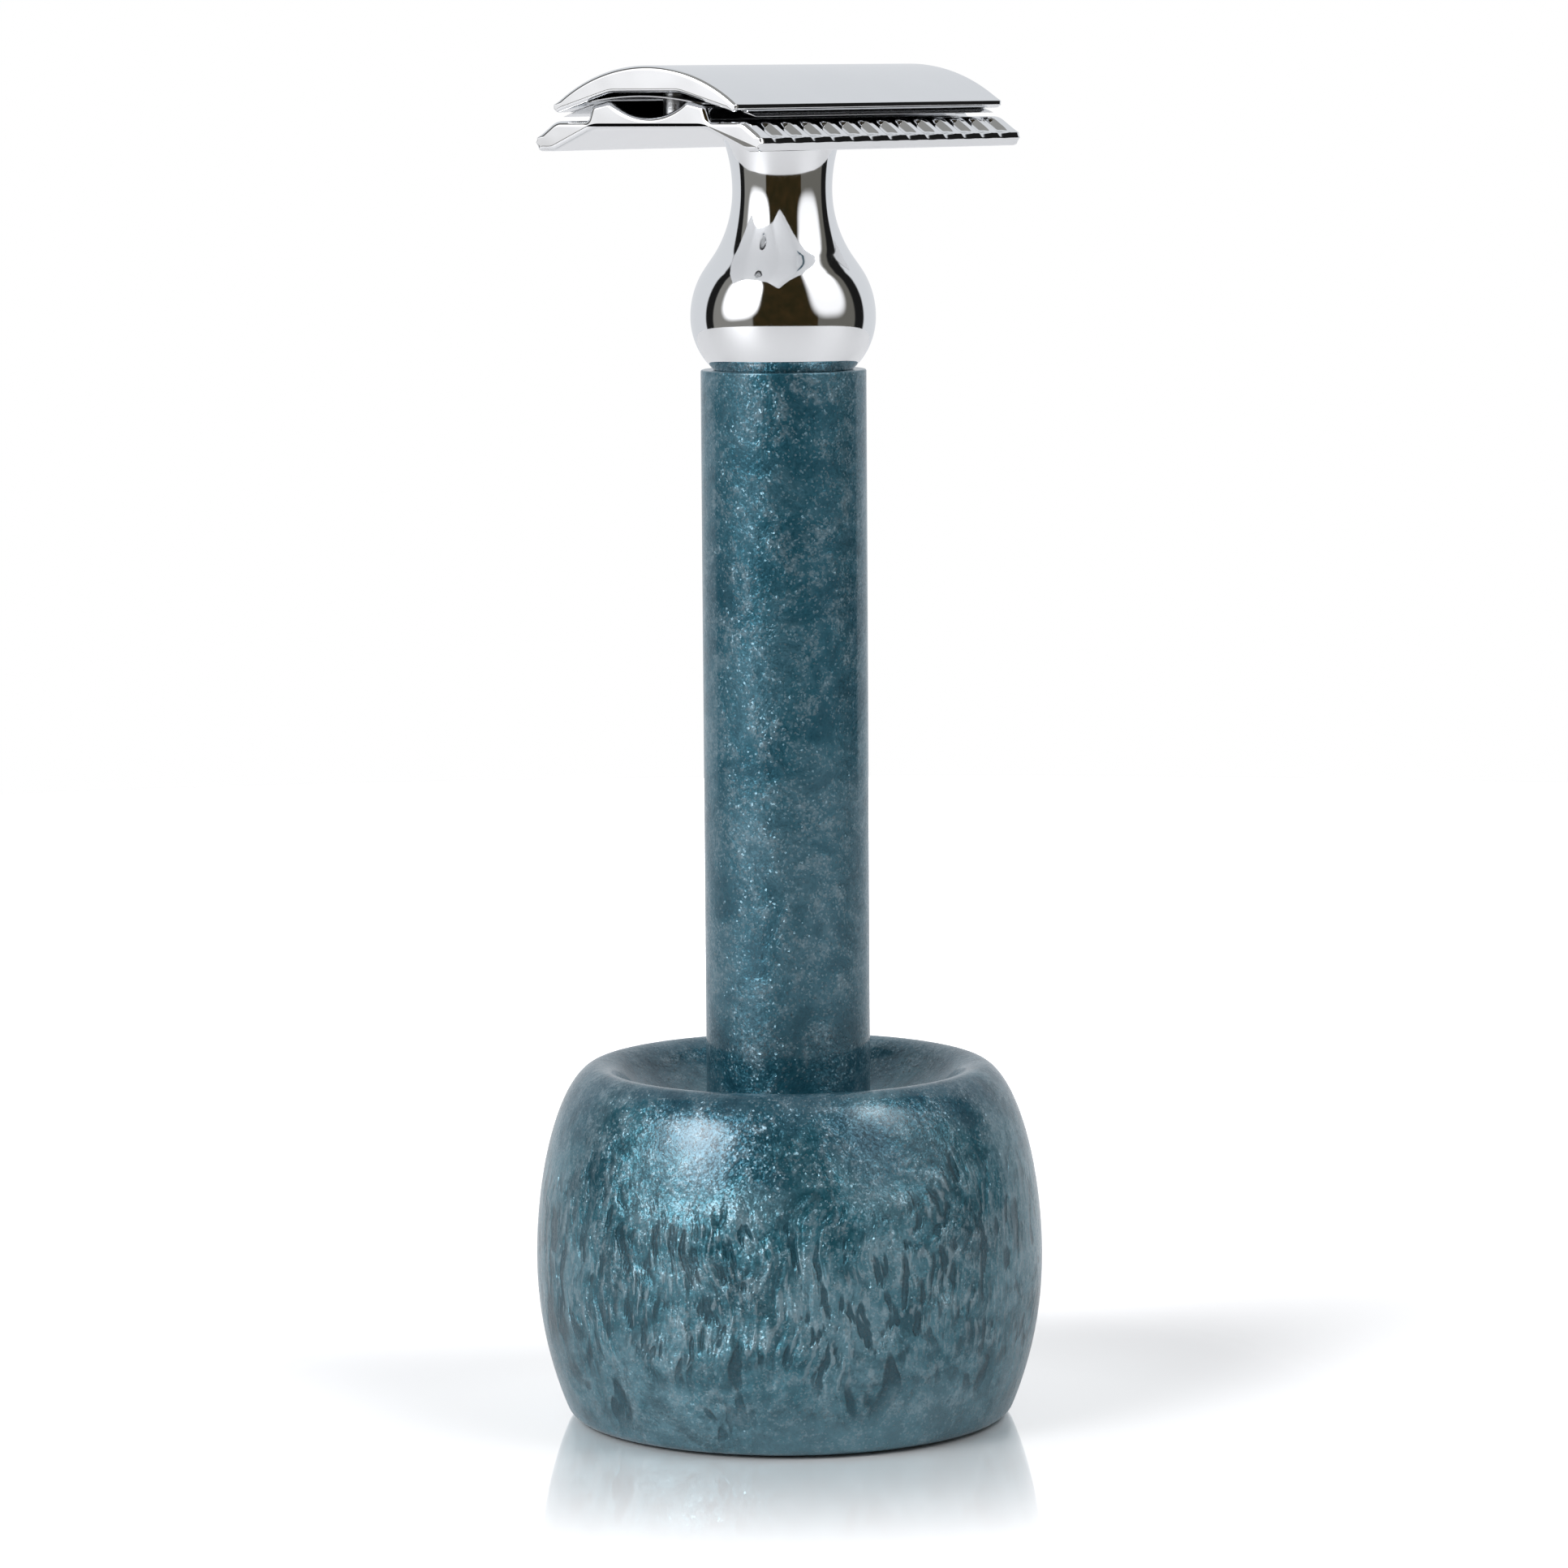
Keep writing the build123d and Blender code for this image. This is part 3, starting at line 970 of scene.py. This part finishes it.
@dataclass(frozen=True)
class GroundBlade:
    """Rolled stainless strip whose two long edges are ground bright."""

    name: str
    bevel_start: float
    colour: Colour = (0.62, 0.63, 0.65)
    ground: Colour = (0.80, 0.81, 0.83)
    shade: float = 0.8
    bevel_blur: float = 0.05
    rolling: tuple[float, float, float] = (0.05, 3.0, 3.0)
    rolling_depth: float = 0.000004

    def material(self) -> bpy.types.Material:
        """Builds the finish.

        Returns:
            The material.
        """
        material, graph, shader = new_material(self.name)
        where = graph.millimetres()
        across = graph.math("ABSOLUTE", graph.node("ShaderNodeSeparateXYZ", {0: where}).outputs["Y"])
        edge = graph.fade(across, self.bevel_start - self.bevel_blur, self.bevel_start + self.bevel_blur)
        rolled = graph.noise(graph.vector("MULTIPLY", where, self.rolling), 2.0, 3.0).outputs[0]
        strip = graph.mix(rolled, darker(self.colour, self.shade), self.colour)
        graph.feed_all(
            shader,
            {
                "Base Color": graph.mix(edge, strip, self.ground),
                "Metallic": 1.0,
                "Roughness": graph.fade(edge, 0.0, 1.0, 0.2, 0.13),
                "Normal": graph.relief(rolled, self.rolling_depth, 0.5),
            },
        )
        return material


@dataclass(frozen=True)
class SoftRubber:
    """Matt black rubber sheet with a fine pebble and a little dust."""

    name: str
    colour: Colour = (0.022, 0.022, 0.024)
    dust: Colour = (0.07, 0.07, 0.075)
    pebble_depth: float = 0.00006

    def material(self) -> bpy.types.Material:
        """Builds the finish.

        Returns:
            The material.
        """
        material, graph, shader = new_material(self.name)
        where = graph.millimetres()
        pebble = graph.noise(where, 3.0, 3.0, 0.6).outputs[0]
        dust = graph.fade(graph.noise(where, 0.3, 4.0).outputs[0], 0.45, 0.75, 0.0, 0.5)
        graph.feed_all(
            shader,
            {
                "Base Color": graph.mix(dust, self.colour, self.dust),
                "Roughness": graph.fade(pebble, 0.3, 0.7, 0.62, 0.85),
                "Normal": graph.relief(pebble, self.pebble_depth, 0.6),
            },
        )
        return material


# ---------------------------------------------------------------- the stand


@dataclass
class Stand:
    """The turned resin stand and its foot pad. Sizes are in millimetres."""

    shelf: EffectShelf
    belly_radius: float = 23.7
    belly_height: float = 15.1
    crest_radius: float = 17.9
    crest_height: float = 33.2
    shoulder_power: float = 1.9
    side_arc: float = 37.0
    lip_radius: float = 3.0
    lip_turn: float = 48.0
    dish_end_slope: float = 8.0
    socket_radius: float = 7.9
    socket_floor: float = 12.0
    pad_radius: float = 17.2
    pad_thickness: float = 1.4
    pad_play: float = 0.1
    foot_height: float = 0.2
    shoulder_steps: int = 60

    def profile(self) -> Outline:
        """Draws half of the stand's section, from the recess's middle round to the socket's floor.

        Returns:
            The open outline.
        """
        line = Outline()
        line.to(0, self.pad_thickness)
        line.to(self.pad_radius + self.pad_play, self.pad_thickness, 0.1)
        line.to(self.pad_radius + self.pad_play, self.foot_height, 0.15)
        side_centre = self.belly_radius - self.side_arc
        low = math.degrees(math.asin((self.foot_height - self.belly_height) / self.side_arc))
        foot_radius = side_centre + self.side_arc * math.cos(math.radians(low))
        line.to(foot_radius, self.foot_height, 1.1)
        line.arc((side_centre, self.belly_height), self.side_arc, low, 0, skip=True)
        width, rise = self.belly_radius - self.crest_radius, self.crest_height - self.belly_height
        for step in range(1, self.shoulder_steps + 1):
            angle = math.radians(90 * step / self.shoulder_steps)
            line.to(
                self.crest_radius + width * math.cos(angle) ** (2 / self.shoulder_power),
                self.belly_height + rise * math.sin(angle) ** (2 / self.shoulder_power),
            )
        lip_centre = (self.crest_radius, self.crest_height - self.lip_radius)
        line.arc(lip_centre, self.lip_radius, 90, 90 + self.lip_turn, skip=True)
        lip_end = line.points[-1]
        steep, shallow = math.radians(self.lip_turn), math.radians(self.dish_end_slope)
        dish_arc = (lip_end[0] - self.socket_radius) / (math.sin(steep) - math.sin(shallow))
        dish_centre = (lip_end[0] - dish_arc * math.sin(steep), lip_end[1] + dish_arc * math.cos(steep))
        line.arc(dish_centre, dish_arc, self.lip_turn - 90, self.dish_end_slope - 90, skip=True)
        line.eases[-1] = 0.5
        line.to(self.socket_radius, self.socket_floor, 0.3)
        line.to(0, self.socket_floor)
        return line

    def build(self) -> None:
        """Turns the stand and its pad and dresses them."""
        body = lathe("stand_turned", self.profile().eased(longest=0.6, turn=3.0), segments=220)
        dress(body, PearlResin("pearl resin of the stand").material(self.shelf))
        place(body, "stand", "pearl_resin", "stand_body")
        pad_line = Outline()
        pad_line.to(0, 0).to(self.pad_radius, 0, 0.15).to(self.pad_radius, self.pad_thickness, 0.05)
        pad_line.to(0, self.pad_thickness)
        pad = lathe("foot_pad", pad_line.eased(longest=1.5, turn=10.0), segments=128)
        dress(pad, SoftRubber("foot pad rubber").material())
        place(pad, "stand", "foot_rubber", "stand_foot_pad")


# ---------------------------------------------------------------- the handle


@dataclass
class Handle:
    """The resin grip, its brass insert and the chromed neck. Sizes are in millimetres."""

    shelf: EffectShelf
    chrome: bpy.types.Material
    grip_radius: float = 7.66
    grip_bottom: float = 12.05
    grip_top: float = 98.0
    insert_radius: float = 5.5
    insert_depth: float = 16.0
    spigot_radius: float = 4.0
    spigot_length: float = 12.0
    foot_radius: float = 6.45
    skirt_height: float = 98.7
    bulb_radius: float = 8.56
    bulb_height: float = 102.85
    bulb_lower_arc: float = 6.6
    waist_radius: float = 4.6
    waist_height: float = 114.5
    waist_arc: float = 11.0
    flare_arc: float = 14.0
    top: float = 120.28
    bore_bottom: float = 110.4
    groove_radius: float = 2.52
    bore_radius: float = 2.1
    pitch: float = 0.8
    groove_at_bore: float = 0.589
    groove_at_wall: float = 0.104
    thread_root: float = 0.03
    thread_relief: float = 0.4
    thread_end: float = 0.5

    def grip_profile(self) -> Outline:
        """Draws half of the grip's section, from its bottom's middle round to the bottom of its hole.

        Returns:
            The open outline.
        """
        line = Outline()
        line.to(0, self.grip_bottom).to(self.grip_radius, self.grip_bottom, 1.0)
        line.to(self.grip_radius, self.grip_top, 0.22)
        line.to(self.insert_radius, self.grip_top)
        hole_floor = self.grip_top - self.insert_depth
        line.to(self.insert_radius, hole_floor).to(0, hole_floor)
        return line

    def neck_profile(self) -> Outline:
        """Draws half of the neck's section, from its spigot's end round to the bottom of its hole.

        Returns:
            The open outline.
        """
        line = Outline()
        spigot_end = self.grip_top - self.spigot_length
        line.to(0, spigot_end).to(self.spigot_radius, spigot_end, 0.3)
        line.to(self.spigot_radius, self.grip_top, 0.05)
        line.to(self.foot_radius, self.grip_top, 0.08)
        low = math.degrees(math.asin((self.skirt_height - self.bulb_height) / self.bulb_lower_arc))
        lower_centre = self.bulb_radius - self.bulb_lower_arc
        start = math.radians(low)
        line.to(
            lower_centre + self.bulb_lower_arc * math.cos(start),
            self.bulb_height + self.bulb_lower_arc * math.sin(start),
            0.25,
        )
        line.arc((lower_centre, self.bulb_height), self.bulb_lower_arc, low, 0, skip=True)
        waist_centre = self.waist_radius + self.waist_arc
        rise = self.waist_height - self.bulb_height
        reach = waist_centre - self.bulb_radius
        upper_arc = (reach**2 + rise**2 - self.waist_arc**2) / (2 * (self.waist_arc - reach))
        upper_centre = self.bulb_radius - upper_arc
        join = math.degrees(math.atan2(rise, waist_centre - upper_centre))
        line.arc((upper_centre, self.bulb_height), upper_arc, 0, join, skip=True)
        line.eases[-1] = 0.8
        line.arc((waist_centre, self.waist_height), self.waist_arc, 180 + join, 180, skip=True)
        flare_end = 180 - math.degrees(math.asin((self.top - self.waist_height) / self.flare_arc))
        line.arc(
            (self.waist_radius + self.flare_arc, self.waist_height), self.flare_arc, 180, flare_end, skip=True
        )
        line.eases[-1] = 0.15
        line.to(self.groove_radius, self.top, 0.12)
        line.to(self.groove_radius, self.bore_bottom, 0.2).to(0, self.bore_bottom)
        return line

    def thread(self) -> bpy.types.Object:
        """Winds the neck's inner thread.

        Returns:
            The thread's ridge, with its root in the wall of the hole.
        """
        at_bore = (self.pitch - self.groove_at_bore) / 2
        at_wall = (self.pitch - self.groove_at_wall) / 2
        wall = self.groove_radius + self.thread_root
        tooth = [(wall, -at_wall), (self.bore_radius, -at_bore), (self.bore_radius, at_bore), (wall, at_wall)]
        start = self.bore_bottom + self.thread_relief + self.pitch / 2
        turns = (self.top - self.thread_end - start) / self.pitch
        return helix_ridge("neck_thread", tooth, self.pitch, start, turns)

    def build(self) -> None:
        """Makes the grip, the neck and its thread, and dresses the insert."""
        resin = PearlResin(
            "pearl resin of the grip",
            night=(0.010, 0.075, 0.115),
            swirl=8.0,
            streaks_top=-60.0,
            relief=0.00026,
        )
        grip = lathe("grip_turned", self.grip_profile().eased(longest=2.0, turn=6.0), segments=200)
        dress(grip, resin.material(self.shelf))
        place(grip, "handle", "pearl_resin", "handle_grip")
        neck = lathe("neck_polished", self.neck_profile().eased(longest=0.5, turn=2.0), segments=256)
        dress(neck, self.chrome)
        place(neck, "handle", "head_chrome", "neck_ferrule")
        thread = self.thread()
        dress(thread, self.chrome)
        place(thread, "handle", "head_chrome")
        brass = TurnedMetal("turned brass", (0.72, 0.52, 0.22))
        keep("handle_insert", brass.material(self.shelf))


# ---------------------------------------------------------------- the head


@dataclass
class BasePlate:
    """The chromed guard plate, with a fluted bar along each long side. Sizes are in millimetres."""

    chrome: bpy.types.Material
    half_length: float = 20.5
    underside: float = 120.3
    trough_half_width: float = 6.2
    bar_bottom: float = 118.3
    bar_bottom_half_width: float = 10.8
    bar_outer: float = 12.8
    bar_outer_height: float = 119.55
    bar_side: float = 0.5
    bar_edge: float = 0.08
    bar_chamfer: float = 0.4
    bar_lean: float = 0.14
    bar_shoulder: float = 10.5
    bar_top: float = 121.0
    rib_half_width: float = 6.8
    rib_shoulder: float = 6.3
    rib_shoulder_height: float = 122.4
    ridge: float = 4.3
    ridge_height: float = 122.85
    scoop_height: float = 121.35
    end_rounding: float = 0.5
    flute_count: int = 13
    flute_pitch: float = 2.97
    flute_radius: float = 1.3
    flute_lift: float = 0.75
    flute_start: float = -0.5
    flute_run_in: float = 0.62
    flute_run_out: float = 0.88
    flute_fade: float = 0.9
    flute_head: float = 1.2
    flute_head_fade: float = 0.3
    flute_deepest: float = 1.0
    flute_softness: float = 0.04
    stud_hole: float = 2.75
    pin_hole: float = 1.45
    pin_position: float = 16.0
    countersink: float = 0.5
    drill_margin: float = 1.0
    step: float = 0.1

    def section(self) -> Outline:
        """Draws the plate's cross-section.

        Returns:
            The closed outline.
        """
        half = Outline()
        half.to(0, self.underside)
        half.to(self.trough_half_width, self.underside, 0.7)
        half.to(self.bar_bottom_half_width, self.bar_bottom, 0.4)
        half.to(self.bar_outer - self.bar_chamfer, self.bar_bottom, 0.3)
        side = self.bar_outer - self.bar_edge
        half.to(side, self.bar_outer_height - self.bar_side, 0.08)
        half.to(side - self.bar_lean, self.bar_outer_height, 0.08)
        half.to(self.bar_shoulder, self.bar_top, 0.6)
        half.to(self.rib_half_width, self.bar_top, 0.35)
        half.to(self.rib_shoulder, self.rib_shoulder_height, 0.42)
        half.to(self.ridge, self.ridge_height, 0.4)
        depth = self.ridge_height - self.scoop_height
        scoop = (self.ridge**2 + depth**2) / (2 * depth)
        sweep = math.degrees(math.asin(self.ridge / scoop))
        half.arc((0, self.scoop_height + scoop), scoop, sweep - 90, -90, skip=True)
        return half.mirrored()

    def fluted(self, rings: np.ndarray) -> np.ndarray:
        """Presses the flutes into both bars.

        Args:
            rings: The plain surface's points.

        Returns:
            The points with those over a flute moved down to its floor.
        """
        run = self.bar_outer - self.bar_edge - self.bar_lean - self.bar_shoulder
        drop = self.bar_top - self.bar_outer_height
        slope = math.hypot(run, drop)
        along, out = np.array([run, -drop]) / slope, np.array([drop, run]) / slope
        side = np.sign(rings[..., 1])
        from_shoulder = np.stack(
            [np.abs(rings[..., 1]) - self.bar_shoulder, rings[..., 2] - self.bar_top], axis=-1
        )
        down, height = from_shoulder @ along, from_shoulder @ out
        reach = (self.flute_count - 1) / 2
        number = np.clip(np.round(rings[..., 0] / self.flute_pitch), -reach, reach)
        sideways = rings[..., 0] - number * self.flute_pitch
        before = np.minimum(down - self.flute_start, 0) * self.flute_run_in
        gap = self.flute_radius**2 - sideways**2 - before**2
        depth = np.sqrt(np.maximum(gap, 0)) - self.flute_lift
        over = height + depth
        soft = self.flute_softness
        press = soft * np.logaddexp(0, over / soft)
        press *= 1 - self.flute_run_out * np.clip((down - slope + self.flute_fade) / self.flute_fade, 0, 1)
        near = (gap > 0) & (height > -self.flute_deepest) & (down > -self.flute_head)
        press = np.where(near, press, 0) * np.clip((down + self.flute_head) / self.flute_head_fade, 0, 1)
        moved = rings.copy()
        moved[..., 1] -= side * press * out[0]
        moved[..., 2] -= press * out[1]
        return moved

    def drilled(self, piece: bpy.types.Object) -> None:
        """Drills the holes for the stud and the two pins through the plate.

        Args:
            piece: The plate, whose mesh is replaced by the drilled one.
        """
        piece.modifiers.clear()
        drills = []
        low, high = self.underside - self.drill_margin, self.ridge_height + self.drill_margin
        pins = ((side * self.pin_position, self.pin_hole) for side in (-1, 1))
        for x, radius in ((0.0, self.stud_hole), *pins):
            line = Outline()
            line.to(0, low).to(radius + self.countersink + self.drill_margin, low)
            line.to(radius, self.underside + self.countersink, 0.08).to(radius, high).to(0, high)
            drill = lathe("drill", line.eased(longest=5.0, turn=10.0), segments=96)
            drill.data.transform(Matrix.Translation((x * MM, 0, 0)))
            cut = piece.modifiers.new("hole", "BOOLEAN")
            cut.operation, cut.solver, cut.object = "DIFFERENCE", "EXACT", drill
            drills.append(drill)
        bpy.context.view_layer.update()
        drilled = bpy.data.meshes.new_from_object(piece.evaluated_get(bpy.context.evaluated_depsgraph_get()))
        piece.modifiers.clear()
        piece.data = drilled
        for drill in drills:
            bpy.data.objects.remove(drill)
        settle(piece)

    def build(self) -> None:
        """Makes the plate and dresses it."""
        outline = self.section().eased(longest=0.16, turn=6.0)
        plate = extruded(
            "base_plate_polished", outline, self.half_length, self.end_rounding, self.step, self.fluted
        )
        self.drilled(plate)
        dress(plate, self.chrome)
        place(plate, "guard", "head_chrome", "base_plate")


@dataclass
class Cap:
    """The chromed cap, its stud and its pins. Sizes are in millimetres."""

    shelf: EffectShelf
    chrome: bpy.types.Material
    half_length: float = 21.0
    top: float = 125.94
    dome: float = 16.7
    dome_half_width: float = 9.55
    half_width: float = 10.25
    side_height: float = 122.05
    side_strip: float = 0.42
    lip_half_width: float = 9.9
    lip_height: float = 121.75
    flat_half_width: float = 3.85
    flat_height: float = 123.48
    end_rounding: float = 0.42
    step: float = 1.5

    def section(self) -> Outline:
        """Draws the cap's cross-section.

        Returns:
            The closed outline.
        """
        half = Outline()
        half.to(0, self.flat_height).to(self.flat_half_width, self.flat_height, 0.5)
        half.to(self.lip_half_width, self.lip_height, 0.2)
        half.to(self.half_width, self.side_height, 0.12)
        half.to(self.half_width, self.side_height + self.side_strip, 0.12)
        reach = math.degrees(math.asin(self.dome_half_width / self.dome))
        centre = self.top - self.dome
        turn = math.radians(90 - reach)
        half.to(self.dome * math.cos(turn), centre + self.dome * math.sin(turn), 0.3)
        half.arc((0, centre), self.dome, 90 - reach, 90, skip=True)
        return half.mirrored()

    def build(self) -> None:
        """Makes the cap and dresses its stud and pins."""
        outline = self.section().eased(longest=0.5, turn=3.0)
        cap = extruded("cap_polished", outline, self.half_length, self.end_rounding, self.step)
        dress(cap, self.chrome)
        place(cap, "cap", "head_chrome", "cap_plate")
        steel = TurnedMetal("turned steel", (0.60, 0.61, 0.62)).material(self.shelf)
        for node in ("cap_stud", "cap_pin_left", "cap_pin_right"):
            keep(node, steel)


@dataclass
class Blade:
    """The double-edge blade, bent over the plate's ridges. Sizes are in millimetres."""

    bevel_start: float = 9.9

    def build(self) -> None:
        """Dresses the blade."""
        keep("razor_blade", GroundBlade("ground blade steel", self.bevel_start).material())


# ---------------------------------------------------------------- studio


@dataclass(frozen=True)
class GlossyTable:
    """Glossy white table top. Distances are in millimetres from its middle.

    The camera sees it a little darker round the stand, a painted shadow, where it also mirrors what stands on
    it.
    """

    name: str
    low_white: Colour = (0.71, 0.71, 0.715)
    high_white: Colour = (0.73, 0.73, 0.735)
    roughness: float = 0.5
    # Painted shadow: over the near span the camera sees the sheet go from a little dark by the stand to full
    # white.
    near: Span = (24.0, 64.0)
    painted_shadow_white: Span = (0.95, 1.14)
    far: Span = (110.0, 320.0)
    far_gain: Span = (0.0, 0.66)
    mirror_reach: Span = (21.0, 68.0)
    mirror_share: float = 0.56
    mirror_tone: Colour = (1.5, 1.48, 1.45)
    mirror_roughness: float = 0.015

    def material(self) -> bpy.types.Material:
        """Builds the finish.

        Returns:
            The material.
        """
        material, graph, shader = new_material(self.name)
        where = graph.millimetres()
        smear = graph.noise(where, 0.01, 3.0).outputs[0]
        white = graph.mix(smear, self.low_white, self.high_white)
        graph.feed_all(shader, {"Base Color": white, "Roughness": self.roughness})
        away = graph.node("ShaderNodeVectorMath", {0: where}, operation="LENGTH").outputs["Value"]
        # Painted shadow round the stand, where the camera sees the sheet darker.
        painted_shadow = graph.fade(away, *self.near, *self.painted_shadow_white)
        bright = graph.plus(painted_shadow, graph.fade(away, *self.far, *self.far_gain))
        sheet = graph.node("ShaderNodeBsdfDiffuse", {"Color": graph.grey(bright)})
        mirror = graph.node(
            "ShaderNodeBsdfGlossy", {"Color": self.mirror_tone, "Roughness": self.mirror_roughness}
        )
        share = graph.fade(away, *self.mirror_reach, self.mirror_share, 0.0)
        seen = graph.node("ShaderNodeMixShader", {0: share, 1: sheet.outputs[0], 2: mirror.outputs[0]})
        output = graph.tree.nodes["Material Output"]
        graph.feed(output.inputs["Surface"], graph.by_camera(seen.outputs[0], shader.outputs[0]))
        return material


@dataclass(frozen=True)
class SoftBox:
    """A lit soft box as the polished parts mirror it. Angles are in degrees.

    Its places are an angle to the right, seen from the object towards the camera, and an angle upwards.
    Its corners are round, and its upper edge leans where the box is turned.
    """

    middle: Point
    reach: Point
    blur: float
    cloth: float
    lamp: Point
    lamp_spread: float
    lamp_power: float
    lean: float = 0.0
    squareness: float = 3.0
    coolness: float = 1.02

    def mask(self, graph: Graph, side: Wire, rise: Wire) -> bpy.types.NodeSocket:
        """Writes where the box is.

        Args:
            graph: The world's graph.
            side: Angle to the right of each direction.
            rise: Angle upwards of each direction.

        Returns:
            1 inside the box and 0 outside it.
        """
        tilted = graph.times(graph.math("SUBTRACT", side, self.middle[0]), self.lean)
        parts = []
        for value, centre, half in zip((side, graph.math("SUBTRACT", rise, tilted)), self.middle, self.reach):
            share = graph.math("ABSOLUTE", graph.math("DIVIDE", graph.math("SUBTRACT", value, centre), half))
            parts.append(graph.math("POWER", share, self.squareness))
        return graph.fade(graph.plus(*parts), 1 - self.blur, 1 + self.blur, 1.0, 0.0)

    def light(self, graph: Graph, side: Wire, rise: Wire) -> bpy.types.NodeSocket:
        """Writes how bright the box's cloth is, with the bell-shaped glow of the lamp behind it.

        Args:
            graph: The world's graph.
            side: Angle to the right of each direction.
            rise: Angle upwards of each direction.

        Returns:
            The light's colour.
        """
        squares = []
        for value, centre in zip((side, rise), self.lamp):
            offset = graph.math("DIVIDE", graph.math("SUBTRACT", value, centre), self.lamp_spread)
            squares.append(graph.times(offset, offset))
        bell = graph.math("POWER", math.e, graph.times(graph.plus(*squares), -0.5))
        return graph.grey(graph.plus(graph.times(bell, self.lamp_power), self.cloth), self.coolness)


@dataclass
class Studio:
    """Floor, surroundings and camera. Angles are in degrees, and lengths in millimetres."""

    heading: float = 54.0
    distance: float = 570.0
    height: float = 125.9
    pitch: float = 6.65
    roll: float = 0.4
    aside: float = 0.22
    lens: float = 141.6
    sensor: float = 36.0
    table_radius: float = 520.0
    screen_tone: Colour = (0.725, 0.745, 0.775)
    ceiling_tone: Colour = (0.30, 0.30, 0.29)
    black: Colour = (0.012, 0.012, 0.012)
    wall_top: Span = (60.0, 72.0)
    ceiling_edge: Span = (62.0, 72.0)
    left_box: SoftBox = SoftBox((-57, 22.5), (26, 24), 0.5, 1.5, (-51, 36), 11.0, 15.0, lean=0.1)
    right_box: SoftBox = SoftBox((62, 34), (26, 32), 0.6, 1.15, (64, 52), 10.0, 8.0)

    def axes(self) -> tuple[Vector, Vector]:
        """Works out the camera's level directions.

        Returns:
            The direction that it looks in, and the direction to its right.
        """
        heading = math.radians(self.heading)
        ahead = Vector((math.sin(heading), math.cos(heading), 0))
        return ahead, Vector((ahead.y, -ahead.x, 0))

    def camera(self) -> None:
        """Makes the camera."""
        ahead, right = self.axes()
        tilt = math.radians(self.pitch)
        look = ahead * math.cos(tilt) + Vector((0, 0, -math.sin(tilt)))
        over = right.cross(look)
        roll = math.radians(self.roll)
        across = right * math.cos(roll) - over * math.sin(roll)
        upward = over * math.cos(roll) + right * math.sin(roll)
        data = bpy.data.cameras.new("camera")
        data.lens, data.sensor_width = self.lens, self.sensor
        data.clip_start, data.clip_end = 0.01, 50.0
        camera = bpy.data.objects.new("camera", data)
        spot = -ahead * self.distance - right * self.aside + Vector((0, 0, self.height))
        turn = Matrix((across, upward, -look)).transposed()
        camera.matrix_world = Matrix.Translation(spot * MM) @ turn.to_4x4()
        bpy.context.scene.collection.objects.link(camera)
        bpy.context.scene.camera = camera

    def floor(self) -> None:
        """Makes the table top, a round white sheet."""
        turns = np.linspace(0, 2 * math.pi, 256, endpoint=False)
        radius = self.table_radius * MM
        rim = [(radius * math.cos(turn), radius * math.sin(turn), 0.0) for turn in turns]
        mesh = bpy.data.meshes.new("table_top")
        mesh.from_pydata(rim, [], [tuple(range(len(rim)))])
        top = bpy.data.objects.new("table_top", mesh)
        bpy.context.scene.collection.objects.link(top)
        top.data.materials.append(GlossyTable("glossy white table").material())

    def surroundings(self) -> None:
        """Writes the room that the polished parts mirror: pale screens, a dark room and two soft boxes."""
        world = bpy.data.worlds.new("studio")
        bpy.context.scene.world = world
        world.use_nodes = True
        graph = Graph(world.node_tree)
        ahead, right = self.axes()
        direction = graph.node("ShaderNodeTexCoord").outputs["Generated"]
        to_right = graph.vector("DOT_PRODUCT", direction, tuple(right))
        to_camera = graph.vector("DOT_PRODUCT", direction, tuple(-ahead))
        side = graph.math("DEGREES", graph.math("ARCTAN2", to_right, to_camera))
        up = graph.node("ShaderNodeSeparateXYZ", {0: direction}).outputs["Z"]
        rise = graph.math("DEGREES", graph.math("ARCSINE", up))
        blotch = graph.noise(direction, 5.0, 2.0).outputs[0]
        dim_room = graph.mix(blotch, (0.05, 0.03, 0.012), (0.012, 0.014, 0.006))
        below = graph.fade(rise, *self.wall_top, 1.0, 0.0)
        colour: Wire = self.screen_tone
        for start, end, tone, soft in (
            (-100.0, -36.0, (0.24, 0.235, 0.22), 3.0),
            (38.0, 105.0, (0.14, 0.135, 0.12), 3.0),
            (-112.0, -97.0, self.black, 1.5),
            (101.0, 120.0, self.black, 2.0),
            (-38.0, 44.0, dim_room, 1.5),
        ):
            stretch = graph.band(side, (start - soft, start + soft, end - soft, end + soft))
            colour = graph.mix(graph.times(stretch, below), colour, tone)
        colour = graph.mix(graph.fade(rise, *self.ceiling_edge), colour, self.ceiling_tone)
        for box in (self.left_box, self.right_box):
            colour = graph.mix(box.mask(graph, side, rise), colour, box.light(graph, side, rise))
        mirrored = graph.node("ShaderNodeBackground", {"Color": colour, "Strength": 1.0})
        seen = graph.node("ShaderNodeBackground", {"Color": (1.0, 1.0, 1.0), "Strength": 1.0})
        both = graph.by_camera(seen.outputs[0], mirrored.outputs[0])
        graph.node("ShaderNodeOutputWorld", {"Surface": both})

    def build(self) -> None:
        """Sets up the studio."""
        self.camera()
        self.floor()
        self.surroundings()
        bpy.context.scene.view_settings.view_transform = "Standard"
        log.info("the studio has its camera, its table top and its surroundings")


def main() -> None:
    """Builds every piece round the frame."""
    logging.basicConfig(level=logging.INFO, format="%(message)s")
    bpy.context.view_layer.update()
    Studio().build()
    shelf = EffectShelf()
    chrome = PolishedChrome("polished chrome").material(shelf)
    for part in (Stand(shelf), Handle(shelf, chrome), BasePlate(chrome), Blade(), Cap(shelf, chrome)):
        part.build()


if __name__ == "__main__":
    main()
